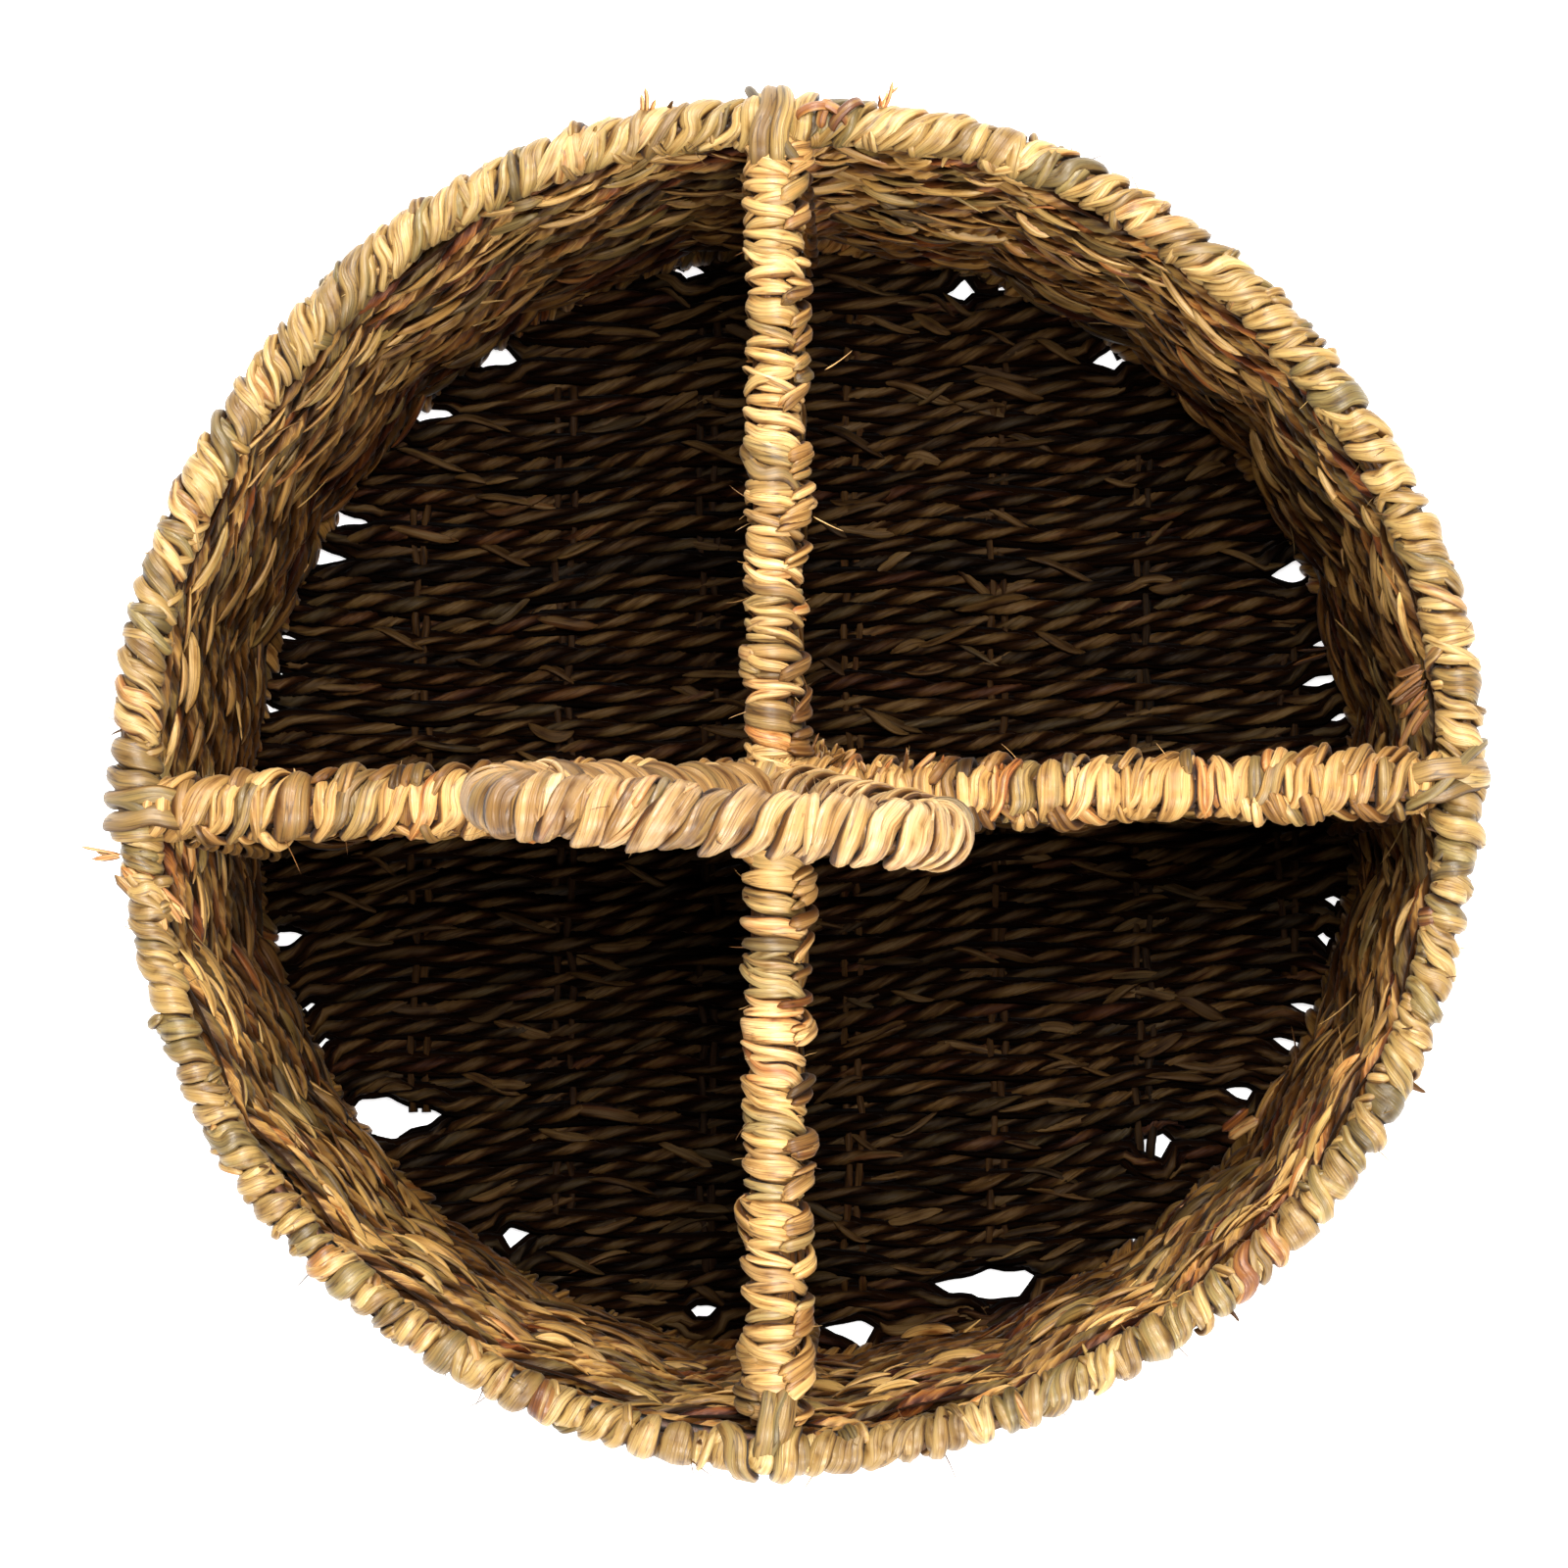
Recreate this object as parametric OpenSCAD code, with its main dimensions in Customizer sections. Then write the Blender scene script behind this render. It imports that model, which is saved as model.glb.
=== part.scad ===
// Round seagrass storage basket: a wire ring at the rim and another at the foot, a woven wall
// and floor, a cross of two woven dividers that makes four compartments, and a bound wire
// handle that stands on the crossing. Everything is fixed: no piece moves.
// Frame: origin on the floor at the middle of the basket, +Z up, +X along the long divider.

/* [Rim and wall] */
// Outer diameter of the bound rim
rim_outer_d = 356; // [330:2:380]
// Height of the rim's top above the floor
rim_top_h = 178; // [150:2:200]
// Diameter of the seagrass binding round the rim wire
rim_bind_d = 14.5; // [13.5:0.5:16]
// Diameter of the wall's middle line where it stands on the foot ring
wall_foot_d = 329; // [315:1:335]
// How far the wall leans out between its foot and the rim, on the radius
wall_lean = 5; // [0:1:6]
// Thickness of the woven wall between two rows
wall_t = 9; // [8:0.5:11]
// Nominal height of one woven row
row_h = 5.2; // [4.5:0.1:8]
// How far each row swells out of the wall
row_swell = 0.6; // [0.3:0.1:0.8]
// Number of upright stakes in the wall
wall_stake_count = 23; // [15:2:29]
// Diameter of the seagrass stakes in the wall, the floor and the dividers
stake_d = 4; // [3:0.5:5]

/* [Foot and floor] */
// Diameter of the seagrass binding round the foot wire
foot_bind_d = 12; // [11:0.5:13]
// Height taken off the underside of the foot binding, where it rests
foot_flat = 0.5; // [0.3:0.1:0.8]
// Thickness of the woven floor
floor_t = 8; // [7:0.5:9]
// Distance between the floor's stakes
floor_stake_pitch = 42; // [30:2:60]
// Sideways place of the floor stake nearest the middle
floor_stake_shift = 14; // [0:1:20]
// Distance between the gaps that the floor's rows leave where they turn at the foot ring
gap_pitch = 15.6; // [12:0.2:24]
// Height of one gap at the ring
gap_h = 4.5; // [2:0.5:6]
// Length of one gap, inward from the ring
gap_l = 10; // [5:1:14]

/* [Dividers] */
// Place of the crossing along X, from the basket's middle
cross_x = -5; // [-12:1:12]
// Place of the crossing along Y, from the basket's middle
cross_y = -6; // [-12:1:12]
// Turn of the long divider away from the X axis
long_divider_turn = 1.2; // [-3:0.2:3]
// Thickness of a divider panel between two rows
panel_t = 9; // [7:0.5:10]
// Diameter of the binding along the top of a divider
bar_bind_d = 15.7; // [14:0.1:17]
// Distance between the stakes in a divider
divider_stake_pitch = 42; // [30:2:46]

/* [Handle] */
// Overall height, from the floor to the top of the handle
overall_h = 305; // [270:5:330]
// Diameter of the seagrass binding round the handle wire
handle_bind_d = 17; // [15:0.5:19]
// Width of the handle's straight top, between the middle lines of its two legs
handle_w = 105; // [90:1:120]
// Radius of the handle's two upper corners, on the middle line
handle_corner_r = 13; // [12:1:20]
// Sideways place of the top's middle, from the crossing
handle_shift = -10; // [-15:1:15]
// How far the handle leans towards -Y
handle_lean = 5.2; // [0:0.2:8]
// Turn of the handle about the upright axis
handle_turn = -4.6; // [-10:0.1:10]

/* [Wires] */
// Diameter of the rim, foot and divider wires
wire_d = 4; // [3:0.5:4.5]
// Diameter of the handle wire and the centre post
handle_wire_d = 5; // [4:0.5:5]

/* [Hidden] */
$fn = 96;

// Clearances: a wire in its binding, and one woven piece beside another
fit_gap = 0.1;
soft_gap = 0.3;

// Rings
rim_r = (rim_outer_d - rim_bind_d) / 2;
rim_z = rim_top_h - rim_bind_d / 2;
foot_r = wall_foot_d / 2;
foot_z = foot_bind_d / 2 - foot_flat;

// Wall, which stands between the two bound rings
wall_z0 = foot_z + foot_bind_d / 2 + fit_gap;
wall_z1 = rim_z - rim_bind_d / 2 - fit_gap;
wall_rows = floor((wall_z1 - wall_z0) / row_h);
wall_row_h = (wall_z1 - wall_z0) / wall_rows;
wall_tilt = atan(wall_lean / (wall_z1 - wall_z0));
bore_d = stake_d + 2 * fit_gap;

// Floor, whose edge stops just inside the foot binding
floor_r = foot_r - foot_bind_d / 2 - 2 * fit_gap;
floor_z0 = foot_z - floor_t / 2;
floor_z1 = foot_z + floor_t / 2;
floor_stakes_x = [
    for (i = [-6:6])
    let (x = floor_stake_shift + i * floor_stake_pitch)
    if (abs(x) < floor_r - 12) x
];
gap_rows = floor((floor_r - 30) / gap_pitch);

// Dividers
bar_z = rim_z;
bar_start = 10;
wire_step = wire_d / 2 + 2.5 * fit_gap;
panel_start = panel_t / 2 + row_swell + fit_gap;
panel_z0 = floor_z1 + soft_gap;
panel_z1 = bar_z - bar_bind_d / 2 - soft_gap;
panel_rows = floor((panel_z1 - panel_z0) / row_h);
panel_row_h = (panel_z1 - panel_z0) / panel_rows;
stakes_per_panel = 3;
left = 180 + long_divider_turn;
right = long_divider_turn;
far = 90;
near = 270;

// Lashings at the bars' ends, and the cords in the corners between the panels and the wall
lash_t = 1.6;
lash_w = 15;
lacing_d = 3;

// Crossing and handle
knot_r = 12;
knot_top = rim_top_h + 1;
collar_l = 4;
collar_t = 0.3;
handle_foot_x = 0.4 * handle_wire_d;
handle_top = (overall_h - handle_bind_d / 2 - bar_z - collar_t) / cos(handle_lean);

straw = [0.83, 0.74, 0.52];
pale_straw = [0.88, 0.81, 0.61];
olive_straw = [0.56, 0.49, 0.31];
dark_straw = [0.30, 0.24, 0.15];
dull_wire = [0.35, 0.33, 0.31];

// Radius of the wall's middle line at a height
function wall_mid(z) = foot_r + wall_lean * (z - wall_z0) / (wall_z1 - wall_z0);

// Radius of the free inner face of the wall at a height
function wall_inside(z) = wall_mid(z) - wall_t / 2 - row_swell - soft_gap;

// Distance from the crossing to a circle round the basket's middle, along a direction
function reach(angle, r) =
    let (along = cross_x * cos(angle) + cross_y * sin(angle))
    sqrt(r * r - cross_x * cross_x - cross_y * cross_y + along * along) - along;

// Direction, seen from the basket's middle, in which a divider meets the rim
function rim_angle(angle) =
    atan2(cross_y + reach(angle, rim_r) * sin(angle), cross_x + reach(angle, rim_r) * cos(angle));

// One side of a woven profile: a row swells between two row lines
function row_edge(rows, pitch, z0, swell) = [
    for (i = [0 : 2 * rows]) [i % 2 == 0 ? 0 : swell, z0 + i * pitch / 2]
];

function reversed(list) = [for (i = [len(list) - 1 : -1 : 0]) list[i]];

// A solid ring round the basket's axis, with a round section
module ring(r, z, section_d) {
    translate([0, 0, z])
        rotate_extrude()
            translate([r, 0])
                circle(d = section_d);
}

// A binding round a ring's wire
module bound_ring(r, z, binding_d) {
    difference() {
        ring(r, z, binding_d);
        ring(r, z, wire_d + 2 * fit_gap);
    }
}

// Puts its children at the crossing, with local +X along a divider
module along_divider(angle) {
    translate([cross_x, cross_y, 0])
        rotate([0, 0, angle])
            children();
}

// A straight rod along local X
module rod(x0, x1, z, d) {
    translate([x0, 0, z])
        rotate([0, 90, 0])
            cylinder(h = x1 - x0, d = d);
}

// A seagrass stake standing in the wall, which follows the wall's lean
module wall_stake(i, d, extra) {
    rotate([0, 0, i * 360 / wall_stake_count])
        translate([wall_mid(wall_z0), 0, wall_z0])
            rotate([0, wall_tilt, 0])
                translate([0, 0, -extra])
                    cylinder(h = (wall_z1 - wall_z0) / cos(wall_tilt) + 2 * extra, d = d);
}

// A floor stake lying along Y, as long as its chord of the floor
module floor_stake(x, d, extra) {
    half = sqrt(floor_r * floor_r - x * x) - stake_d / 2 + extra;
    translate([x, -half, foot_z])
        rotate([-90, 0, 0])
            cylinder(h = 2 * half, d = d);
}

// The upright stakes inside one divider panel
module panel_stakes(angle, d, extra) {
    along_divider(angle)
        for (i = [1 : stakes_per_panel])
            translate([i * divider_stake_pitch, 0, panel_z0 - extra])
                cylinder(h = panel_z1 - panel_z0 + 2 * extra, d = d);
}

// A divider wire, from the rim wire on one side to the rim wire on the other
module divider_wire(back, ahead, z, d, extra) {
    inside = rim_r - wire_d / 2 - fit_gap;
    along_divider(ahead)
        rod(-reach(back, inside) - extra, reach(ahead, inside) + extra, z, d);
}

// The channels that the divider wires need in what is bound over them
module wire_channels() {
    divider_wire(left, right, bar_z + wire_step, wire_d + 2 * fit_gap, 1);
    divider_wire(near, far, bar_z - wire_step, wire_d + 2 * fit_gap, 1);
}

// One woven divider panel, from the centre post to the wall
module divider_panel(angle) {
    edge = row_edge(panel_rows, panel_row_h, panel_z0, row_swell);
    one_side = [for (p = edge) [p[1], panel_t / 2 + p[0]]];
    other_side = [for (p = reversed(edge)) [p[1], -panel_t / 2 - p[0]]];
    difference() {
        along_divider(angle)
            intersection() {
                rotate([0, -90, 0])
                    mirror([0, 0, 1])
                        linear_extrude(height = rim_outer_d)
                            polygon(concat(one_side, other_side));
                rotate([90, 0, 0])
                    translate([0, 0, -panel_t])
                        linear_extrude(height = 2 * panel_t)
                            polygon([
                                [panel_start, panel_z0],
                                [reach(angle, wall_inside(panel_z0)), panel_z0],
                                [reach(angle, wall_inside(panel_z1)), panel_z1],
                                [panel_start, panel_z1]
                            ]);
            }
        panel_stakes(angle, bore_d, 1);
    }
}

// The binding along the top of one divider, which ends against the rim's lashing
module divider_binding(angle) {
    difference() {
        along_divider(angle)
            rod(bar_start, reach(angle, rim_r), bar_z, bar_bind_d);
        ring(rim_r, rim_z, rim_bind_d + 2 * lash_t + 4 * fit_gap);
        wire_channels();
    }
}

// Two cords that lace one panel into its corners with the wall
module panel_lacing(angle) {
    side = panel_t / 2 + row_swell + soft_gap + lacing_d / 2;
    out = reach(angle, wall_inside(panel_z0)) - lacing_d / 2 - soft_gap;
    along_divider(angle)
        for (s = [-1, 1])
            translate([out, s * side, panel_z0])
                rotate([0, wall_tilt, 0])
                    cylinder(h = panel_z1 - panel_z0 - 2, d = lacing_d);
}

// A band bound round the rim where a divider's bar meets it
module rim_lashing(angle) {
    span = lash_w / rim_r * 180 / PI;
    rotate([0, 0, rim_angle(angle) - span / 2])
        translate([0, 0, rim_z])
            rotate_extrude(angle = span)
                translate([rim_r, 0])
                    difference() {
                        circle(d = rim_bind_d + 2 * lash_t + 2 * fit_gap);
                        circle(d = rim_bind_d + 2 * fit_gap);
                    }
}

// Centre of a handle corner's arc, in the handle's own upright plane: side is -1 or 1
function corner(side) = [
    handle_shift + side * (handle_w / 2 - handle_corner_r),
    handle_top - handle_corner_r
];

// End of the straight top bar, where a corner's arc starts
function top_end(side) = [corner(side)[0], handle_top];

// Foot of a leg, on the crossing
function leg_foot(side) = [side * handle_foot_x, wire_step];

// Direction in which a leg leaves its corner's arc square to the middle line
function leg_angle(side) =
    let (to_foot = leg_foot(side) - corner(side))
    atan2(to_foot[1], to_foot[0]) + side * acos(handle_corner_r / norm(to_foot));

// Place where a leg meets its corner's arc
function leg_top(side) =
    corner(side) + handle_corner_r * [cos(leg_angle(side)), sin(leg_angle(side))];

// A round bar between two places in the handle's plane
module plane_bar(a, b, d) {
    along = b - a;
    translate([a[0], 0, a[1]])
        rotate([0, atan2(along[0], along[1]), 0])
            cylinder(h = norm(along), d = d);
}

// A bent corner in the handle's plane, between the top bar and a leg
module plane_corner(side, d) {
    first = side > 0 ? leg_angle(side) : 90;
    last = side > 0 ? 90 : leg_angle(side) + 360;
    translate([corner(side)[0], 0, corner(side)[1]])
        rotate([90, 0, 0])
            rotate([0, 0, first])
                rotate_extrude(angle = last - first)
                    translate([handle_corner_r, 0])
                        circle(d = d);
}

// A short collar over the place where a straight bar runs into a bent corner
module plane_collar(a, towards, d) {
    step = collar_l / 2 * (towards - a) / norm(towards - a);
    plane_bar(a - step, a + step, d + 2 * collar_t);
}

// The whole handle loop, thick as given
module handle_loop(d) {
    translate([cross_x, cross_y, bar_z])
        rotate([0, 0, handle_turn])
            rotate([handle_lean, 0, 0]) {
                plane_bar(top_end(-1), top_end(1), d);
                for (side = [-1, 1]) {
                    plane_corner(side, d);
                    plane_collar(top_end(side), top_end(-side), d);
                    plane_collar(leg_top(side), leg_foot(side), d);
                    plane_bar(leg_foot(side), leg_top(side), d);
                }
            }
}

module rim_wire() {
    color(dull_wire)
        ring(rim_r, rim_z, wire_d);
}

module rim_binding() {
    color(straw)
        difference() {
            bound_ring(rim_r, rim_z, rim_bind_d);
            wire_channels();
        }
}

module foot_wire() {
    color(dull_wire)
        ring(foot_r, foot_z, wire_d);
}

module foot_binding() {
    color(olive_straw)
        difference() {
            bound_ring(foot_r, foot_z, foot_bind_d);
            translate([0, 0, -foot_bind_d])
                cylinder(h = foot_bind_d, d = rim_outer_d);
        }
}

module wall_stakes() {
    color(dark_straw)
        for (i = [1 : wall_stake_count])
            intersection() {
                wall_stake(i, stake_d, 1);
                translate([0, 0, wall_z0])
                    cylinder(h = wall_z1 - wall_z0, d = rim_outer_d);
            }
}

module wall_weave() {
    edge = row_edge(wall_rows, wall_row_h, wall_z0, row_swell);
    outside = [for (p = edge) [wall_mid(p[1]) + wall_t / 2 + p[0], p[1]]];
    inside = [for (p = reversed(edge)) [wall_mid(p[1]) - wall_t / 2 - p[0], p[1]]];
    color(olive_straw)
        difference() {
            rotate_extrude()
                polygon(concat(outside, inside));
            for (i = [1 : wall_stake_count])
                wall_stake(i, bore_d, 1);
        }
}

module floor_stakes() {
    color(dark_straw)
        for (x = floor_stakes_x)
            floor_stake(x, stake_d, 0);
}

module floor_weave() {
    color(dark_straw)
        difference() {
            translate([0, 0, floor_z0])
                cylinder(h = floor_t, r = floor_r);
            for (x = floor_stakes_x)
                floor_stake(x, bore_d, stake_d);
            for (row = [-gap_rows : gap_rows], side = [-1, 1])
                floor_gap(side, (row + side / 4) * gap_pitch);
        }
}

// A wedge-shaped gap at the floor's edge, where two rows turn round the foot wire
module floor_gap(side, y) {
    out = sqrt(floor_r * floor_r - y * y);
    translate([side * out, y, floor_z0 - 1])
        linear_extrude(height = floor_t + 2)
            polygon([[-side * gap_l, 0], [side * gap_l, -gap_h], [side * gap_l, gap_h]]);
}

module divider_wire_x() {
    color(dull_wire)
        divider_wire(left, right, bar_z + wire_step, wire_d, 0);
}

module divider_wire_y() {
    color(dull_wire)
        divider_wire(near, far, bar_z - wire_step, wire_d, 0);
}

module centre_post() {
    color(dull_wire)
        centre_rod(handle_wire_d, panel_z0, 0);
}

// An upright rod from a height up to the lower divider wire
module centre_rod(d, z0, extra) {
    translate([cross_x, cross_y, z0])
        cylinder(h = bar_z - wire_step - wire_d / 2 - fit_gap - z0 + extra, d = d);
}

module divider_stakes_x() {
    color(dark_straw)
        for (angle = [left, right])
            panel_stakes(angle, stake_d, 0);
}

module divider_stakes_y() {
    color(dark_straw)
        for (angle = [near, far])
            panel_stakes(angle, stake_d, 0);
}

module divider_panel_left() {
    color(olive_straw)
        divider_panel(left);
}

module divider_panel_right() {
    color(olive_straw)
        divider_panel(right);
}

module divider_panel_near() {
    color(olive_straw)
        divider_panel(near);
}

module divider_panel_far() {
    color(olive_straw)
        divider_panel(far);
}

module divider_binding_left() {
    color(straw)
        divider_binding(left);
}

module divider_binding_right() {
    color(straw)
        divider_binding(right);
}

module divider_binding_near() {
    color(straw)
        divider_binding(near);
}

module divider_binding_far() {
    color(straw)
        divider_binding(far);
}

module divider_lacings() {
    color(olive_straw)
        for (angle = [left, right, near, far])
            panel_lacing(angle);
}

module centre_knot() {
    color(straw)
        difference() {
            intersection() {
                translate([cross_x, cross_y, bar_z])
                    sphere(r = knot_r);
                along_divider(0)
                    translate([0, 0, (panel_z1 + soft_gap + knot_top) / 2])
                        cube([
                            2 * bar_start - 1, 2 * bar_start - 1,
                            knot_top - panel_z1 - soft_gap
                        ], center = true);
            }
            wire_channels();
            centre_rod(handle_wire_d + 2 * fit_gap, 0, 1);
            handle_loop(handle_wire_d + 2 * fit_gap);
        }
}

module handle_wire() {
    color(dull_wire)
        difference() {
            handle_loop(handle_wire_d);
            translate([0, 0, -1])
                cylinder(h = bar_z + wire_step + wire_d / 2 + fit_gap + 1, d = rim_outer_d);
        }
}

module handle_binding() {
    color(pale_straw)
        difference() {
            handle_loop(handle_bind_d);
            handle_loop(handle_wire_d + 2 * fit_gap);
            cylinder(h = knot_top + fit_gap, d = rim_outer_d);
        }
}

module rim_lashings() {
    color(straw)
        difference() {
            for (angle = [left, right, near, far])
                rim_lashing(angle);
            wire_channels();
        }
}

rim_wire();
rim_binding();
foot_wire();
foot_binding();
wall_stakes();
wall_weave();
floor_stakes();
floor_weave();
divider_wire_x();
divider_wire_y();
centre_post();
divider_stakes_x();
divider_stakes_y();
divider_panel_left();
divider_panel_right();
divider_panel_near();
divider_panel_far();
divider_binding_left();
divider_binding_right();
divider_binding_near();
divider_binding_far();
divider_lacings();
centre_knot();
handle_wire();
handle_binding();
rim_lashings();
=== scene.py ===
import math

import bpy
import numpy as np
from mathutils import Matrix, Vector


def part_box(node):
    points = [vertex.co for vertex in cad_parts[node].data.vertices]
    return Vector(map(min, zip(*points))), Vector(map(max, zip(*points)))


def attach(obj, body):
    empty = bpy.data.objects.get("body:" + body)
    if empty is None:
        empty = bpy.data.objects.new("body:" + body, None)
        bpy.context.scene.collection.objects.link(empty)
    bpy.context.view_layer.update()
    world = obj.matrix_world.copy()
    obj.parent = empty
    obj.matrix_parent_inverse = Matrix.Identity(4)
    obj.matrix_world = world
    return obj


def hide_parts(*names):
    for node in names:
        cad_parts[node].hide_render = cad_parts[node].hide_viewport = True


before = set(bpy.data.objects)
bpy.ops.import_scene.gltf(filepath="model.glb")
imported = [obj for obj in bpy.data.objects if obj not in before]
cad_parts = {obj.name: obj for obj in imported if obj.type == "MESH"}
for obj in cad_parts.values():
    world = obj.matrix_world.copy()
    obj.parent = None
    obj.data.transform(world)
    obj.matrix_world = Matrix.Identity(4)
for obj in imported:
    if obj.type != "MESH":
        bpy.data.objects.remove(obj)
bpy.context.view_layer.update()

# A hand-woven seagrass basket, strand by strand. Lengths are in millimetres, and become metres
# where a mesh is made. Places and sizes come from the CAD nodes' boxes.
MM = 0.001
TAU = 2 * math.pi
NORTH, UP = np.array([0.0, 1.0, 0.0]), np.array([0.0, 0.0, 1.0])
SIDES = ("left", "right", "near", "far")
random = np.random.default_rng(23)
between = random.uniform


# -------- places, from the CAD frame

def box(node):
    """Lowest corner, highest corner and middle of a CAD node, in millimetres."""
    low, high = (np.array(corner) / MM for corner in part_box(node))
    return low, high, (low + high) / 2


def ring_size(node):
    """Middle-line radius, section radius and height of a CAD ring."""
    low, high, middle = box(node)
    section = (high[2] - low[2]) / 2
    return (high[0] - low[0]) / 2 - section, section, middle[2]


RIM_R, RIM_SECTION, RIM_Z = ring_size("rim_binding")
FOOT_R, _, FOOT_Z = ring_size("foot_wire")
FOOT_SECTION = box("foot_binding")[1][2] - FOOT_Z
WALL_LOW, WALL_HIGH = box("wall_weave")[0][2], box("wall_weave")[1][2]
STAKE_R = (box("floor_stakes")[1][2] - box("floor_stakes")[0][2]) / 2
WALL_TOP_R = box("wall_stakes")[1][0] - STAKE_R
FLOOR_LOW, FLOOR_R = box("floor_weave")[0][2], box("floor_weave")[1][0]
PANEL_LOW, PANEL_HIGH = box("divider_panel_far")[0][2], box("divider_panel_far")[1][2]
CROSS = box("centre_post")[2][:2]
BAR_Z = box("divider_binding_far")[2][2]
BAR_SECTION = (box("divider_binding_far")[1][0] - box("divider_binding_far")[0][0]) / 2
TOTAL_H = box("handle_binding")[1][2]


def direction_to(node):
    """Level direction from the crossing to the middle of a CAD node."""
    away = box(node)[2][:2] - CROSS
    return np.array([*(away / np.linalg.norm(away)), 0.0])


def far_end(node):
    """How far a CAD node reaches from the crossing."""
    ahead = direction_to(node)
    low, high, _ = box(node)
    return max(np.dot(corner[:2] - CROSS, ahead[:2]) for corner in (low, high))


# The handle's own shape, which its box doesn't tell
HANDLE_SECTION = 8.5
HANDLE_W = 105
HANDLE_CORNER_R = 13
HANDLE_SHIFT = -10
HANDLE_LEAN = math.radians(5.2)
HANDLE_TURN = math.radians(-4.6)
HANDLE_FOOT_X, HANDLE_FOOT_Z = 3, 4.0
HANDLE_AIM_Z = 2.0

# How far the middles of the bound leaves lie inside the CAD bindings' surfaces
RIM_INSET = {"far": 2.9, "near": 3.6}
FOOT_INSET = 1.3
HANDLE_INSET = 2.1

# Each bar's inset, its leaves' pitch and slant, and the share of places along its one edge and
# its other where a leaf end turns down
BARS = {"left": (0.5, 7.4, 2.4, 0.6, 0.6), "right": (1.3, 6.6, 1.2, 0.6, 0.6),
        "near": (1.5, 5.6, 0.9, 0.85, 0.2), "far": (2.0, 5.6, 0.9, 0.85, 0.2)}

# The weave
ROW_H = 5.2
WALL_STAKES = 23
FLOOR_PITCH = 42
FLOOR_SHIFT = 14
PANEL_PITCH = 42
# How far rows swing in and out of their stakes
WALL_SWING, PANEL_SWING, FLOOR_SWING = 3.3, 1.7, 1.7


# -------- strands into meshes

def unit(v):
    return v / np.maximum(np.linalg.norm(v, axis=-1, keepdims=True), 1e-9)


def distances(path):
    """Distance along a line at each of its points."""
    return np.concatenate([[0], np.cumsum(np.linalg.norm(np.diff(path, axis=0), axis=1))])


def read_line(s, stations, points):
    """What a line's points, or its directions, are at distances s."""
    return np.stack([np.interp(s, stations, points[:, i]) for i in range(3)], -1)


def round_axis(turn, out, z):
    """Points at angles round the basket's axis, distances from it and heights."""
    return np.stack([out * np.cos(turn), out * np.sin(turn), z], -1)


def away_at(angle):
    """Level direction at an angle from +X."""
    return np.array([math.cos(angle), math.sin(angle), 0.0])


def beside(ahead):
    """Level direction to the left of a direction."""
    return np.array([-ahead[1], ahead[0], 0.0])


def wander(s, span, size):
    """A smooth random value along s: new values every span, between -size and size."""
    count = int((s.max() - s.min()) / span) + 4
    values = between(-size, size, count)
    place = (s - s.min()) / span
    cell = place.astype(int)
    share = place - cell
    share = share * share * (3 - 2 * share)
    return values[cell] * (1 - share) + values[cell + 1] * share


def leaf_hue():
    """A leaf's place on the palette: most are straw, some green or cream, and a few rust."""
    return float(np.clip(random.normal(0.46, 0.2), 0.1, 0.82))


def near_hue(hue, spread):
    return float(np.clip(hue + random.normal(0, spread), 0, 1))


def deep_shade(ring, middle, direction, low, high):
    """Painted shade: 1 where a strand's points are further than high from a middle line, measured
    along a direction, and less, down to 0.2, towards the distance low."""
    direction = np.broadcast_to(direction, middle.shape)
    reach = np.abs(np.einsum("nsk,nk->ns", ring - middle[:, None], direction))
    return 0.2 + 0.8 * np.clip((reach - low) / (high - low), 0, 1)


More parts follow.
